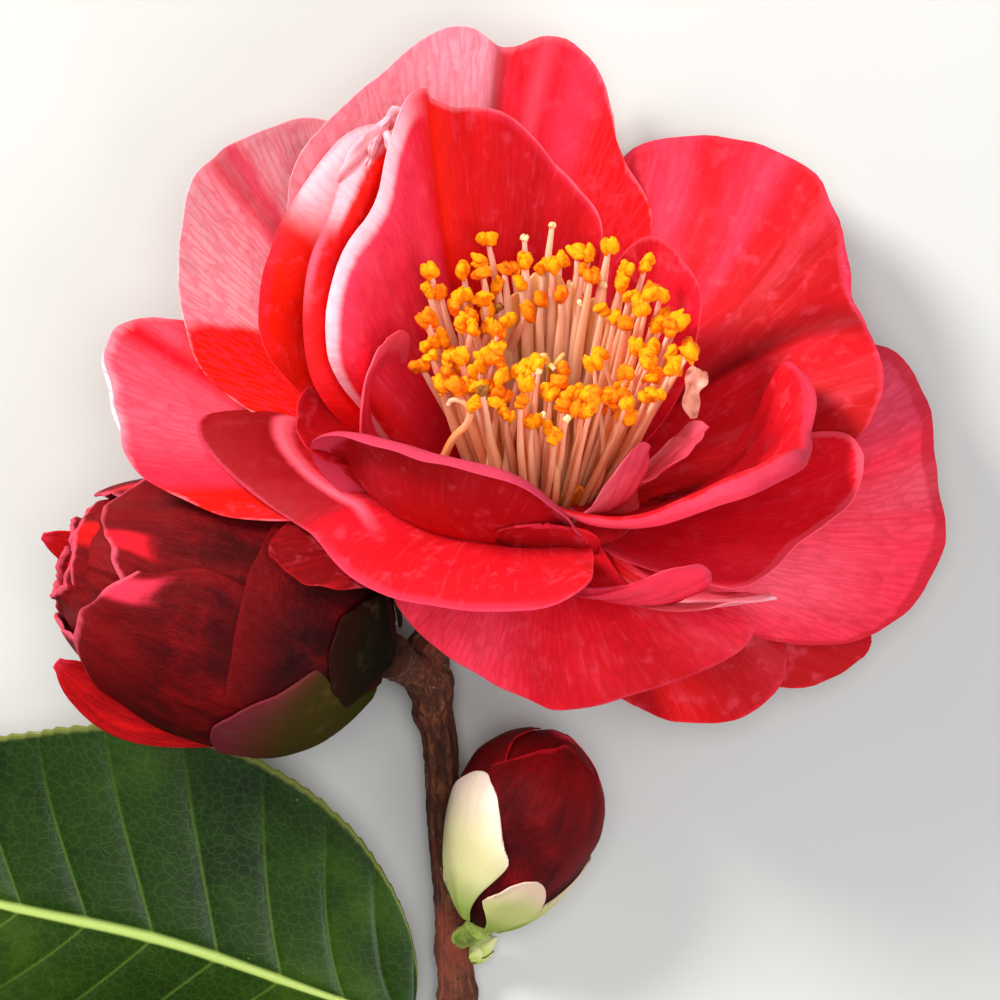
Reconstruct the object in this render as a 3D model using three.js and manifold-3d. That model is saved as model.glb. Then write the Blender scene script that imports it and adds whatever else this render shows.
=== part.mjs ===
import * as THREE from 'three';
import { mergeVertices } from 'three/addons/utils/BufferGeometryUtils.js';
import { ConvexGeometry } from 'three/addons/geometries/ConvexGeometry.js';
import Module from 'manifold-3d';

// A cut camellia twig lying on a table: one open bloom that faces up and back, a half-open
// bud at its left, a smaller closed bud lower on the twig, and one broad leaf.
// Places are given in design units as they are seen from straight above (x to the right, y
// down the view, both 0 to 1000 across the view) with a height z towards the eye, and are
// turned into millimetres at the end.

const wasm = await Module();
wasm.setup();

// ---- driving dimensions
const UNIT = 0.108;              // mm in one design unit at the plane of focus
const EYE = 400 / UNIT;          // the eye above the plane of focus, design units
const FOCUS = 200;               // the plane of focus above the datum, design units
const PETAL_THICK = 0.65 / UNIT;  // petal plate, design units
const LEAF_THICK = 0.8 / UNIT;   // leaf blade plate
const GAP = 0.3 / UNIT;          // clear space kept between neighbouring solids
const FAN = 145;                 // half angle of a petal's rim round its widest point, degrees
const SMALL_PETAL = 125;         // petals narrower than this are drawn as plain ovals
const PETAL_BASE = 45;           // radius of the ring the petals start from
const PETAL_FROM = 0.34;         // where along its length each plate starts
const BLOOM_AXIS = unit([0.03, 0.72, 0.69]);   // the way the bloom faces
const BLOOM_HEART = [46, 0, 110];              // middle of the bloom's base
const STAMEN_FOOT = 24, STAMEN_TOP = 236;      // stamen ring, along the bloom's axis
const STAMEN_TUFTS = 6;
const SLIM = 2.2;                // corners closer to a flat face than this are left out, design units
const LEAF_HALF_WIDTH = 229;
const BUD_HEIGHT = 112;          // axis of the half-open bud above the datum

const PETAL_RED = 0xd2203f, PETAL_PALE = 0xe8678a, PETAL_DARK = 0xa8142c;

// ---- petals: places as seen of the middle (mid) and tip, width w, where it is widest (c),
// outline squareness (e), twist at base and tip (tw), cupping at base and tip (cup), fold
// along the middle, rim roll across it, and the outline's waviness (har)
const PETALS = [
  { name: 'back_petal', mid: [497, 297, 64], tip: [500, 5, 114], w: 356, c: 0.59, e: 1.09, tw: [3, 4], cup: [0.35, 0.3], fold: -0.25, notch: 0.07, nph: 3.0, har: [[-0.058, -0.052], [-0.074, 0.004], [0.02, 0.041], [0.005, 0.014], [-0.03, -0.022], [-0.013, -0.029]] },
  { name: 'back_right_petal', mid: [713, 353, 62], tip: [838, 221, 98], w: 379, c: 0.62, e: 1.09, tw: [-4, 4], cup: [0.3, 0.2], har: [[0.062, -0.036], [-0.049, -0.112], [-0.07, -0.04], [0.039, -0.008], [0.013, -0.032], [0.004, -0.004]] },
  { name: 'upper_left_petal', mid: [346, 344, 42], tip: [198, 177, 107], w: 294, c: 0.69, e: 1.05, tw: [9, -3], cup: [0.3, 0.2], har: [[0.055, -0.004], [-0.029, 0.097], [-0.05, 0.029], [0.035, -0.039], [0.01, -0.016], [0.014, 0.018]] },
  { name: 'far_left_petal', mid: [311, 456, 117], tip: [112, 397, 203], w: 235, c: 0.65, e: 0.83, tw: [15, -2], cup: [0.4, 0.2], har: [[0.044, -0.04], [-0.005, 0.071], [-0.059, 0.034], [0.013, -0.015], [-0.009, -0.003], [-0.027, 0.016]] },
  { name: 'right_petal', mid: [766, 509, 129], tip: [952, 478, 50], w: 272, c: 0.59, e: 0.92, tw: [-15, 0], cup: [-0.2, -0.35], face: [0.1, -0.1, 1.0], har: [[0.076, -0.023], [-0.042, -0.067], [-0.13, -0.04], [-0.003, 0.024], [-0.003, 0.011], [0.003, 0.001]] },
  { name: 'lower_right_petal', mid: [699, 583, 99], tip: [860, 662, 53], w: 123, c: 0.66, e: 1.09, tw: [-3, 0], cup: [0.0, -0.2], face: [0.1, -0.1, 1.0], har: [[0.033, -0.011], [0.03, -0.043], [-0.062, -0.049], [-0.008, -0.021], [0.0, -0.003], [-0.009, 0.007]] },
  { name: 'bottom_petal', mid: [648, 602, 109], tip: [727, 721, 68], w: 176, c: 0.66, e: 1.01, tw: [2, 5], cup: [0.0, -0.2], face: [0.0, -0.3, 1.0], har: [[0.023, -0.035], [0.031, -0.097], [-0.044, -0.041], [-0.011, 0.022], [0.003, 0.012], [0.005, -0.006]] },
  { name: 'front_petal', mid: [545, 613, 237], tip: [549, 709, 236], w: 310, c: 0.54, e: 1.18, tw: [-10, 0], cup: [0.2, -0.2], face: [0.0, -0.5, 1.0], har: [[0.035, -0.145], [-0.057, -0.113], [-0.063, 0.004], [0.052, 0.047], [0.005, 0.002], [0.013, -0.018]] },
  { name: 'lower_left_petal', mid: [387, 542, 223], tip: [276, 568, 284], w: 136, c: 0.65, e: 1.03, tw: [4, -2], cup: [0.2, 0.2], har: [[0.013, -0.004], [-0.002, 0.009], [-0.046, 0.024], [-0.007, 0.012], [0.005, 0.002], [0.004, -0.002]] },
  { name: 'left_mid_petal', mid: [396, 337, 102], tip: [290, 195, 202], w: 290, c: 0.68, e: 0.97, tw: [5, -4], cup: [0.5, 0.6], rs: 0.8, roll: [0, 0, 60, 80, 90, 40], har: [[0.035, -0.02], [-0.041, 0.118], [-0.083, 0.055], [-0.008, -0.006], [-0.011, -0.01], [0.007, -0.017]] },
  { name: 'left_inner_petal', mid: [384, 328, 154], tip: [387, 131, 229], w: 236, c: 0.56, e: 1.23, tw: [-6, -7], cup: [0.5, 0.6], rs: 0.84, roll: [90, 110, 110, 90, 0], har: [[0.045, 0.009], [0.01, 0.099], [-0.031, 0.109], [0.031, 0.036], [-0.009, 0.004], [-0.028, 0.015]] },
  { name: 'back_inner_petal', mid: [467, 322, 154], tip: [429, 68, 248], w: 315, c: 0.55, e: 1.16, tw: [-5, 12], cup: [0.4, 0.5], rs: 0.82, roll: [130, 120, 60, 0, 0, 0, 0], har: [[-0.107, -0.056], [-0.135, 0.02], [0.023, 0.051], [0.066, -0.024], [0.01, -0.024], [-0.016, -0.05]] },
  { name: 'right_back_inner_petal', mid: [636, 365, 115], tip: [671, 244, 170], w: 140, c: 0.61, e: 1.03, tw: [-2, -2], cup: [0.5, 0.4], har: [[0.0, 0.003], [0.019, -0.024], [-0.011, -0.026], [-0.008, -0.007], [-0.003, -0.009], [0.001, -0.009]] },
  { name: 'front_left_petal', mid: [409, 516, 231], tip: [317, 554, 302], w: 448, c: 0.6, e: 1.01, tw: [16, 8], cup: [0.5, 0.4], rs: 0.68, roll: [0, 0, 0, 20, 45, 60, 50], har: [[0.006, -0.072], [-0.084, 0.012], [-0.113, 0.046], [0.006, -0.025], [0.017, -0.048], [0.023, -0.035]] },
  { name: 'right_scoop_petal', mid: [706, 497, 230], tip: [820, 390, 320], w: 294, c: 0.64, e: 0.82, tw: [-33, 11], cup: [0.8, 0.7], rs: 0.8, roll: [30, 50, 100, 120, 150, 150, 150], har: [[0.077, -0.006], [-0.043, -0.04], [-0.12, 0.055], [-0.024, -0.009], [-0.032, 0.013], [0.017, 0.036]] },
  { name: 'right_under_petal', mid: [786, 511, 208], tip: [847, 495, 249], w: 215, c: 0.65, e: 1.04, tw: [-1, 8], cup: [0.4, 0.3], har: [[0.048, 0.002], [0.008, -0.063], [0.002, -0.081], [0.042, -0.029], [-0.0, 0.013], [-0.025, 0.016]] },
  { name: 'front_lip_petal', mid: [445, 543, 300], tip: [454, 438, 387], w: 269, c: 0.62, e: 1.04, tw: [12, 11], cup: [0.6, 0.6], rs: 0.84, roll: [60, 100, 130, 130, 130, 100, 60], har: [[0.074, -0.013], [-0.062, 0.044], [-0.084, -0.069], [0.006, -0.011], [-0.011, 0.005], [-0.009, 0.001]] },
  { name: 'front_right_tip_petal', mid: [678, 602, 264], tip: [777, 594, 294], w: 69, c: 0.79, e: 1.31, tw: [-3, 1], cup: [0.3, 0.1], har: [[-0.009, -0.011], [0.03, 0.008], [-0.043, -0.003], [0.0, 0.004], [0.012, 0.003], [-0.009, -0.005]] },
  { name: 'front_right_petal', mid: [658, 597, 314], tip: [716, 570, 315], w: 88, c: 0.78, e: 1.13, tw: [-4, -21], cup: [0.3, 0.1], har: [[0.005, -0.014], [-0.034, 0.03], [-0.082, -0.013], [-0.014, -0.004], [0.008, 0.006], [0.006, -0.002]] },
  { name: 'left_petaloid', mid: [367, 413, 243], tip: [391, 328, 290], w: 120, c: 0.63, e: 0.98, tw: [-6, -29], cup: [0.5, 0.5], har: [[0.009, 0.071], [-0.033, 0.053], [-0.043, -0.006], [-0.007, -0.006], [-0.009, -0.001], [-0.006, -0.002]] },
  { name: 'left_small_petal', mid: [378, 443, 189], tip: [294, 428, 269], w: 106, c: 0.64, e: 0.97, tw: [0, -5], cup: [0.5, 0.5], har: [[0.013, -0.015], [-0.01, -0.01], [-0.036, -0.017], [-0.013, -0.021], [-0.001, -0.011], [0.0, -0.002]] },
  { name: 'right_petaloid_1', mid: [617, 498, 280], tip: [642, 443, 320], w: 62, c: 0.64, e: 1.0, tw: [4, -6], cup: [0.3, 0.3], br: 40.0, bh: 40.0, har: [[0.024, 0.004], [-0.024, -0.009], [-0.041, -0.051], [0.008, -0.028], [0.014, 0.005], [-0.001, 0.011]] },
  { name: 'right_petaloid_2', mid: [676, 455, 270], tip: [708, 425, 310], w: 59, c: 0.69, e: 1.1, tw: [-3, 16], cup: [0.3, 0.3], br: 40.0, bh: 20.0, har: [[0.012, -0.027], [-0.028, -0.016], [-0.057, 0.024], [0.004, 0.025], [0.015, 0.001], [0.001, -0.007]] },
];
// ---- vectors
function add(a, b) { return [a[0] + b[0], a[1] + b[1], a[2] + b[2]]; }
function sub(a, b) { return [a[0] - b[0], a[1] - b[1], a[2] - b[2]]; }
function mul(a, k) { return [a[0] * k, a[1] * k, a[2] * k]; }
function dot(a, b) { return a[0] * b[0] + a[1] * b[1] + a[2] * b[2]; }
function cross(a, b) { return [a[1] * b[2] - a[2] * b[1], a[2] * b[0] - a[0] * b[2], a[0] * b[1] - a[1] * b[0]]; }
function unit(a) { const l = Math.hypot(a[0], a[1], a[2]) || 1; return [a[0] / l, a[1] / l, a[2] / l]; }
function turn(v, axis, ang) {
  const a = unit(axis), c = Math.cos(ang), s = Math.sin(ang);
  return add(add(mul(v, c), mul(cross(a, v), s)), mul(a, dot(a, v) * (1 - c)));
}
const rad = d => d * Math.PI / 180;
const clamp = (x, a, b) => Math.min(b, Math.max(a, x));
function interp(x, xs, ys) {
  if (x <= xs[0]) return ys[0];
  for (let i = 1; i < xs.length; i++) if (x <= xs[i]) return ys[i - 1] + (ys[i] - ys[i - 1]) * (x - xs[i - 1]) / (xs[i] - xs[i - 1]);
  return ys[ys.length - 1];
}
function interpV(x, xs, Y) { return [0, 1, 2].map(k => interp(x, xs, Y.map(y => y[k]))); }
// difference along a row, one-sided at its ends
function slope(Y) {
  const n = Y.length;
  return Y.map((y, i) => i === 0 ? sub(Y[1], Y[0]) : i === n - 1 ? sub(Y[n - 1], Y[n - 2]) : mul(sub(Y[i + 1], Y[i - 1]), 0.5));
}
// a place seen at x, y of the view, at height z
function seen(x, y, z) {
  const k = (EYE - (z - FOCUS)) / EYE;
  return [(x - 500) * k, (500 - y) * k, z];
}
// a smooth line through the given rows, n steps
function smooth(rows, n) {
  const P = [rows[0].map((v, k) => 2 * v - rows[1][k]), ...rows, rows[rows.length - 1].map((v, k) => 2 * v - rows[rows.length - 2][k])];
  const m = rows.length - 1, out = [];
  for (let s = 0; s <= n; s++) {
    const x = m * s / n, i = Math.min(Math.floor(x), m - 1), f = x - i;
    out.push(P[i].map((_, k) => {
      const a = P[i][k], b = P[i + 1][k], c = P[i + 2][k], d = P[i + 3][k];
      return 0.5 * (2 * b + (c - a) * f + (2 * a - 5 * b + 4 * c - d) * f * f + (3 * b - a - 3 * c + d) * f * f * f);
    }));
  }
  return out;
}
function frames(C, hint) {
  const T = slope(C).map(unit), N = [], B = [];
  let n = hint;
  T.forEach((t, i) => { n = unit(sub(n, mul(t, dot(t, n)))); N.push(n); B.push(cross(t, n)); });
  return { T, N, B };
}

// ---- solids from lists of vertices and triangles
function solid(verts, tris) {
  const g = new THREE.BufferGeometry();
  g.setAttribute('position', new THREE.Float32BufferAttribute(verts.flat(), 3));
  g.setIndex(tris.flat());
  const m = mergeVertices(g, 1e-3);
  let made = new wasm.Manifold(new wasm.Mesh({ numProp: 3, vertProperties: m.attributes.position.array, triVerts: new Uint32Array(m.index.array) }));
  if (made.volume() < 0) return solid(verts, tris.map(t => [t[0], t[2], t[1]]));
  return made;
}
// rings of nc points, closed at both ends
function ringed(V, nr, nc, first, last) {
  const F = [];
  for (let i = 0; i < nr - 1; i++) for (let j = 0; j < nc; j++) {
    const a = i * nc + j, b = i * nc + (j + 1) % nc, c = a + nc, d = b + nc;
    F.push([a, b, d], [a, d, c]);
  }
  const o = nr * nc;
  for (let j = 0; j < nc; j++) F.push([o, (j + 1) % nc, j], [o + 1, (nr - 1) * nc + j, (nr - 1) * nc + (j + 1) % nc]);
  return solid([...V, first, last], F);
}
// a round limb through rows of [x, y, z, radius] as seen
function limb(rows, steps, sides, more = 0) {
  const Q = smooth(rows.map(r => [...seen(r[0], r[1], r[2]), r[3]]), steps), C = Q.map(q => q.slice(0, 3));
  return turned(C, Q.map(q => q[3] + more), sides, [0, 0, 1], more);
}
function turned(C, R, sides, hint, more = 0) {
  const { T, N, B } = frames(C, hint), V = [], n = C.length;
  const at = C.map((c, i) => i === 0 ? sub(c, mul(T[0], more)) : i === n - 1 ? add(c, mul(T[i], more)) : c);
  at.forEach((c, i) => {
    for (let j = 0; j < sides; j++) {
      const a = 2 * Math.PI * j / sides;
      V.push(add(c, add(mul(N[i], R[i] * Math.cos(a)), mul(B[i], R[i] * Math.sin(a)))));
    }
  });
  return ringed(V, n, sides, at[0], at[n - 1]);
}
// a bud: from its foot to its tip, with the radius given at parts of its length
function bud(foot, tip, profile, rings, sides, more = 0) {
  const a = seen(...foot), b = seen(...tip), C = [], R = [];
  for (let i = 0; i < rings; i++) {
    const s = (1 - Math.cos(Math.PI * i / (rings - 1))) / 2;
    C.push(add(a, mul(sub(b, a), s)));
    R.push(interp(s, profile.map(p => p[0]), profile.map(p => p[1])) + more);
  }
  return turned(C, R, sides, [0, 0, 1], more);
}
// a plate from a grid of points: both faces half a thickness off, joined round the border
function plate(G, thick, more = 0) {
  const nu = G.length - 1, nv = G[0].length - 1, t = thick / 2 + more;
  const P = G.map(r => r.map(p => p.slice()));
  if (more) {
    for (let j = 0; j <= nv; j++) P[nu][j] = add(G[nu][j], mul(unit(sub(G[nu][j], G[nu - 1][j])), more));
    for (let i = 0; i <= nu; i++) {
      P[i][0] = add(P[i][0], mul(unit(sub(G[i][0], G[i][1])), more));
      P[i][nv] = add(P[i][nv], mul(unit(sub(G[i][nv], G[i][nv - 1])), more));
    }
  }
  const N = normals(G), V = [], F = [], row = nv + 1, half = (nu + 1) * row;
  for (const s of [1, -1]) for (let i = 0; i <= nu; i++) for (let j = 0; j <= nv; j++) V.push(add(P[i][j], mul(N[i][j], s * t)));
  const quad = (a, b, c, d) => F.push([a, b, c], [a, c, d]);
  for (let i = 0; i < nu; i++) for (let j = 0; j < nv; j++) {
    const a = i * row + j;
    quad(a, a + row, a + row + 1, a + 1);
    quad(half + a, half + a + 1, half + a + row + 1, half + a + row);
  }
  for (let i = 0; i < nu; i++) {
    const a = i * row, b = i * row + nv;
    quad(a, half + a, half + a + row, a + row);
    quad(b + row, half + b + row, half + b, b);
  }
  for (let j = 0; j < nv; j++) {
    const a = j, b = nu * row + j;
    quad(a + 1, half + a + 1, half + a, a);
    quad(b, half + b, half + b + 1, b + 1);
  }
  return solid(V, F);
}
// the room a plate takes up with a clear space round it: one convex block for each of its
// cells, joined
function room(G, thick, more) {
  const whole = plate(G, thick), clean = whole.add(whole).numTri() === whole.numTri();
  if (clean) return plate(G, thick, more);
  const N = normals(G), t = thick / 2 + more;
  let all = null;
  for (let i = 0; i + 1 < G.length; i++) for (let j = 0; j + 1 < G[0].length; j++) {
    const at = [[i, j], [i + 1, j], [i + 1, j + 1], [i, j + 1]], c = mul(at.reduce((q, [a, b]) => add(q, G[a][b]), [0, 0, 0]), 0.25), pts = [];
    for (const [a, b] of at) {
      const p = add(G[a][b], mul(unit(sub(G[a][b], c)), more * 1.4));
      for (const s of [t, -t]) pts.push(new THREE.Vector3(...add(p, mul(N[a][b], s))));
    }
    const g = new ConvexGeometry(pts);
    g.deleteAttribute('normal'); g.deleteAttribute('uv');
    const m = mergeVertices(g, 1e-3);
    const block = new wasm.Manifold(new wasm.Mesh({ numProp: 3, vertProperties: m.attributes.position.array, triVerts: new Uint32Array(m.index.array) }));
    all = all ? all.add(block) : block;
  }
  return all.simplify(0.8);
}
function normals(G) {
  const nu = G.length, nv = G[0].length;
  const gu = G.map((r, i) => r.map((_, j) => i === 0 ? sub(G[1][j], G[0][j]) : i === nu - 1 ? sub(G[i][j], G[i - 1][j]) : sub(G[i + 1][j], G[i - 1][j])));
  const gv = G.map((r, i) => r.map((_, j) => j === 0 ? sub(r[1], r[0]) : j === nv - 1 ? sub(r[j], r[j - 1]) : sub(r[j + 1], r[j - 1])));
  return G.map((r, i) => r.map((_, j) => unit(cross(gu[i][j], gv[i][j]))));
}

// ---- a petal: a bent middle line, a rounded outline fanned from its base, cupped across,
// with its rim rolled back where `roll` says so
function petalGrid(p, nu, nv, from = 0, rollMost = 50) {
  const A = BLOOM_AXIS, O = BLOOM_HEART, tip = seen(...p.tip), mid = seen(...p.mid);
  let d = sub(tip, O); d = unit(sub(d, mul(A, dot(d, A))));
  const base = add(O, add(mul(d, p.br || PETAL_BASE), mul(A, p.bh || 0)));
  const n = 60, c1 = Math.hypot(...sub(mid, base)), c2 = Math.hypot(...sub(tip, mid)), tm = c1 / (c1 + c2);
  const C = [], t = [];
  for (let i = 0; i <= n; i++) {
    const s = i / n; t.push(s);
    const l0 = (s - tm) * (s - 1) / tm, l1 = s * (s - 1) / (tm * (tm - 1)), l2 = s * (s - tm) / (1 - tm);
    C.push(add(add(mul(base, l0), mul(mid, l1)), mul(tip, l2)));
  }
  const focus = add(O, mul(A, 260)), T = slope(C).map(unit);
  const N = T.map((tt, i) => {
    const q = clamp(t[i] / 0.6, 0, 1), on = q * q * (3 - 2 * q), out = unit(sub(focus, C[i]));
    const h = p.face ? add(mul(out, 1 - on), mul(unit(p.face), on)) : out;
    return turn(unit(sub(h, mul(tt, dot(tt, h)))), tt, rad(p.tw[0] + (p.tw[1] - p.tw[0]) * t[i]));
  });
  const B = T.map((tt, i) => cross(tt, N[i])), s = [0];
  for (let i = 1; i <= n; i++) s.push(s[i - 1] + Math.hypot(...sub(C[i], C[i - 1])));
  const L = s[n], Wh = p.w / 2, bw = 0.16 * p.w, G = [], NN = [];
  for (let i = 0; i <= nu; i++) {
    const u = from + (1 - from) * i / nu, row = [], nrow = [];
    for (let j = 0; j <= nv; j++) {
      const v = -1 + 2 * j / nv, ph = v * rad(FAN), co = Math.cos(ph), si = Math.sin(ph);
      let r = 1 - (p.notch || 0) * Math.exp(-(((ph - rad(p.nph || 0)) / 0.22) ** 2));
      p.har.forEach((h, k) => { r += h[0] * Math.cos((k + 1) * ph) + h[1] * Math.sin((k + 1) * ph); });
      const ax = co > 0 ? (1 - p.c) * L : p.c * L;
      const rp = p.c * L + ax * Math.sign(co) * Math.abs(co) ** p.e * (co > 0 ? r : 1);
      const rq = Wh * Math.sign(si) * Math.abs(si) ** p.e * r, bq = bw * v;
      let P = 2 * u * (1 - u) * rp * 0.5 + u * u * rp;
      let Q = (1 - u) ** 2 * bq + 2 * u * (1 - u) * (bq + (rq - bq) * 0.35) + u * u * rq;
      if (p.w < SMALL_PETAL) {   // a small one is a plain oval, laid out in rows across it
        const k = u > p.c ? (u - p.c) / (1 - p.c) : (p.c - u) / p.c;
        P = u * L; Q = v * Wh * Math.max(0.22, Math.sqrt(1 - k * k));
      }
      const cu = interp(P / L, [0, 1], p.cup), K = 24;
      let x = 0, h = 0;
      for (let k = 0; k < K; k++) {
        const qa = Math.abs(Q) * (k + 0.5) / K / Wh, ang = cu * qa + (p.fold || 0) * (1 - Math.exp(-qa * 8));
        x += Math.cos(ang) * Math.abs(Q) / K; h += Math.sin(ang) * Math.abs(Q) / K;
      }
      x *= Math.sign(Q);
      const c = interpV(P, s, C), nn = unit(interpV(P, s, N)), bb = unit(interpV(P, s, B)), tt = unit(interpV(P, s, T));
      row.push(add(add(c, mul(bb, x)), add(mul(nn, h), mul(tt, Math.max(P - L, 0)))));
      nrow.push(nn);
    }
    G.push(row); NN.push(nrow);
  }
  if (p.roll) {
    let nm = normals(G), sg = 0;
    nm.forEach((r, i) => r.forEach((q, j) => { sg += dot(q, NN[i][j]); }));
    if (sg < 0) nm = nm.map(r => r.map(q => mul(q, -1)));
    const at = p.roll.map((_, k) => -1 + 2 * k / (p.roll.length - 1)), start = p.rs || 0.75;
    const H = G.map(r => r.map(q => q.slice()));
    for (let j = 0; j <= nv; j++) {
      const most = Math.min(interp(-1 + 2 * j / nv, at, p.roll), rollMost);
      for (let i = 1; i <= nu; i++) {
        const u0 = from + (1 - from) * (i - 1) / nu, u1 = from + (1 - from) * i / nu;
        const h0 = clamp((u0 - start) / (1 - start), 0, 1) ** 1.2, h1 = clamp((u1 - start) / (1 - start), 0, 1) ** 1.2;
        const seg = sub(G[i][j], G[i - 1][j]), m = mul(add(nm[i][j], nm[i - 1][j]), 0.5);
        H[i][j] = add(H[i - 1][j], turn(seg, cross(seg, m), -rad(most) * (h0 + h1) / 2));
      }
    }
    return H;
  }
  return G;
}

// ---- the leaf: blade folded up along its midrib
function leafGrid(nu, nv) {
  const C = smooth([[410, 1022, -5], [331, 998, -1], [165, 942, 5], [0, 905, 1], [-150, 868, -8], [-300, 832, -20]].map(r => seen(...r)), nu);
  const { N, B } = frames(C, [0, 0, 1]), s = [0];
  for (let i = 1; i <= nu; i++) s.push(s[i - 1] + Math.hypot(...sub(C[i], C[i - 1])));
  return C.map((c, i) => {
    const t = s[i] / s[nu];
    const w = LEAF_HALF_WIDTH * Math.max(0.035, t < 0.4 ? Math.sqrt(Math.max(0, 1 - (1 - t / 0.4) ** 2)) : 1 - ((t - 0.4) / 0.6) ** 1.6);
    const up = B[i][1] > 0 ? B[i] : mul(B[i], -1), row = [];
    for (let j = 0; j <= nv; j++) {
      const v = -1 + 2 * j / nv, q = Math.abs(v) * w * (v < 0 ? 0.85 : 1), a0 = v < 0 ? 35 : 8, a1 = v < 0 ? 80 : 20;
      let x = 0, z = 0;
      for (let k = 0; k < 10; k++) { const an = rad(a0 + (a1 - a0) * (k + 0.5) / 10 * Math.abs(v)); x += Math.cos(an) * q / 10; z += Math.sin(an) * q / 10; }
      row.push(add(c, add(mul(up, x * Math.sign(v)), mul(N[i], z))));
    }
    return row;
  });
}

// ---- a sepal or bud petal: a patch that lies `lift` outside a bud's body, between two
// places along its length and two angles round it
function budPatch(foot, tip, profile, s0, s1, a0, a1, lift, nu, nv, flare = 0) {
  const a = seen(...foot), b = seen(...tip), ax = unit(sub(b, a)), N0 = unit(sub([0, 0, 1], mul(ax, ax[2]))), B0 = cross(ax, N0), G = [];
  for (let i = 0; i <= nu; i++) {
    const u = i / nu, row = [];
    for (let j = 0; j <= nv; j++) {
      const v = -1 + 2 * j / nv, s = s0 + (s1 - s0) * u * (1 - 0.22 * v * v * u);
      const mid = (a0 + a1) / 2, half = (a1 - a0) / 2, wide = Math.sin(Math.PI * (0.18 + 0.62 * u)) ** 0.7;
      const ang = rad(mid + half * v * wide);
      const r = interp(Math.min(s, 1), profile.map(q => q[0]), profile.map(q => q[1])) + lift + flare * u ** 3;
      const c = add(a, mul(sub(b, a), s));
      row.push(add(c, add(mul(N0, r * Math.cos(ang)), mul(B0, r * Math.sin(ang)))));
    }
    G.push(row);
  }
  return G;
}

// ---- one tuft of the stamen ring: a wedge of the hollow cone
function tuft(k, more = 0) {
  const A = BLOOM_AXIS, E = unit(cross(A, [0, 0, 1])), F = cross(A, E), step = 2 * Math.PI / STAMEN_TUFTS, V = [];
  const H = [[STAMEN_FOOT, 24, 38], [80, 46, 68], [140, 64, 96], [195, 82, 120], [STAMEN_TOP, 92, 136]], n = 3;
  H.forEach(([h, r0, r1], i) => {
    const hh = i === 0 ? h - more : i === H.length - 1 ? h + more : h;
    const ring = [];
    for (let q = 0; q <= n; q++) ring.push([r0 - more, q]);
    for (let q = n; q >= 0; q--) ring.push([r1 + more, q]);
    ring.forEach(([r, q]) => {
      const open = (GAP * 0.6 - more) / Math.max(r, 10), ang = k * step + open + (step - 2 * open) * q / n;
      V.push(add(BLOOM_HEART, add(mul(A, hh), add(mul(E, r * Math.cos(ang)), mul(F, r * Math.sin(ang))))));
    });
  });
  const nc = 2 * (n + 1), o = H.length, mean = i => { let c = [0, 0, 0]; for (let j = 0; j < nc; j++) c = add(c, V[i * nc + j]); return mul(c, 1 / nc); };
  return ringed(V, o, nc, mean(0), mean(o - 1));
}

// ---- build
const twig = new THREE.Group();
twig.name = 'camellia_twig';
const placed = [];      // grown copies of what already stands, for the clear gaps
const meshes = [];
function boxOf(m) { return m.boundingBox(); }
function apart(a, b) { for (let k = 0; k < 3; k++) if (a.max[k] < b.min[k] || b.max[k] < a.min[k]) return true; return false; }
function largest(m) {
  const parts = m.decompose();
  return parts.reduce((x, y) => (y.volume() > x.volume() ? y : x), parts[0]);
}
// triangles without those that lie back to back, or null where a side isn't shared by two
function joined(T) {
  const flat = new Map(), sides = new Set();
  T = T.filter(q => q[0] !== q[1] && q[1] !== q[2] && q[2] !== q[0]);
  for (const q of T) { const k = [...q].sort((x, y) => x - y).join(); flat.set(k, (flat.get(k) || 0) + 1); }
  T = T.filter(q => flat.get([...q].sort((x, y) => x - y).join()) === 1);
  for (const q of T) for (let k = 0; k < 3; k++) {
    const side = q[k] + '_' + q[(k + 1) % 3];
    if (sides.has(side)) return null;
    sides.add(side);
  }
  for (const q of T) for (let k = 0; k < 3; k++) if (!sides.has(q[(k + 1) % 3] + '_' + q[k])) return null;
  return T;
}
// corners P and triangles T with the thinnest triangles taken out: a short side is drawn
// together, and a corner close to its far side is joined across that side
function evened(P, T, least) {
  const stuck = new Set(), span = (a, b) => Math.hypot(...sub(P[a], P[b]));
  const high = t => Math.hypot(...cross(sub(P[t[1]], P[t[0]]), sub(P[t[2]], P[t[0]]))) / Math.max(span(t[0], t[1]), span(t[1], t[2]), span(t[2], t[0]), 1e-6);
  T = joined(T);
  for (let round = 0; T && round < 900; round++) {
    let t = null, low = least;
    for (const q of T) if (!stuck.has(q.join()) && high(q) < low) { low = high(q); t = q; }
    if (!t) break;
    const e = [span(t[0], t[1]), span(t[1], t[2]), span(t[2], t[0])], order = [0, 1, 2].sort((x, y) => e[x] - e[y]);
    let next = null;
    for (const i of order) if (!next && e[i] < 5 * least) {
      const a = t[i], b = t[(i + 1) % 3];
      next = joined(T.map(q => q.map(c => (c === b ? a : c))));
      if (next) P[a] = mul(add(P[a], P[b]), 0.5);
    }
    for (const i of order.reverse()) if (!next && e[i] > 0.6 * Math.max(...e)) {
      const a = t[i], b = t[(i + 1) % 3], c = t[(i + 2) % 3], other = T.find(q => q !== t && q.some((_, k) => q[k] === b && q[(k + 1) % 3] === a));
      const d = other && other.find(q => q !== a && q !== b);
      if (other && d !== c && Math.min(high([a, d, c]), high([d, b, c])) > low * 1.05) next = joined(T.filter(q => q !== t && q !== other).concat([[a, d, c], [d, b, c]]));
    }
    if (next) T = next; else stuck.add(t.join());
  }
  return T;
}
function solidOf(P, T) {
  const used = [...new Set(T.flat())], to = new Map(used.map((c, k) => [c, k]));
  try { return new wasm.Manifold(new wasm.Mesh({ numProp: 3, vertProperties: new Float32Array(used.flatMap(c => P[c])), triVerts: new Uint32Array(T.flat().map(c => to.get(c))) })); } catch (e) { return null; }
}
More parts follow.
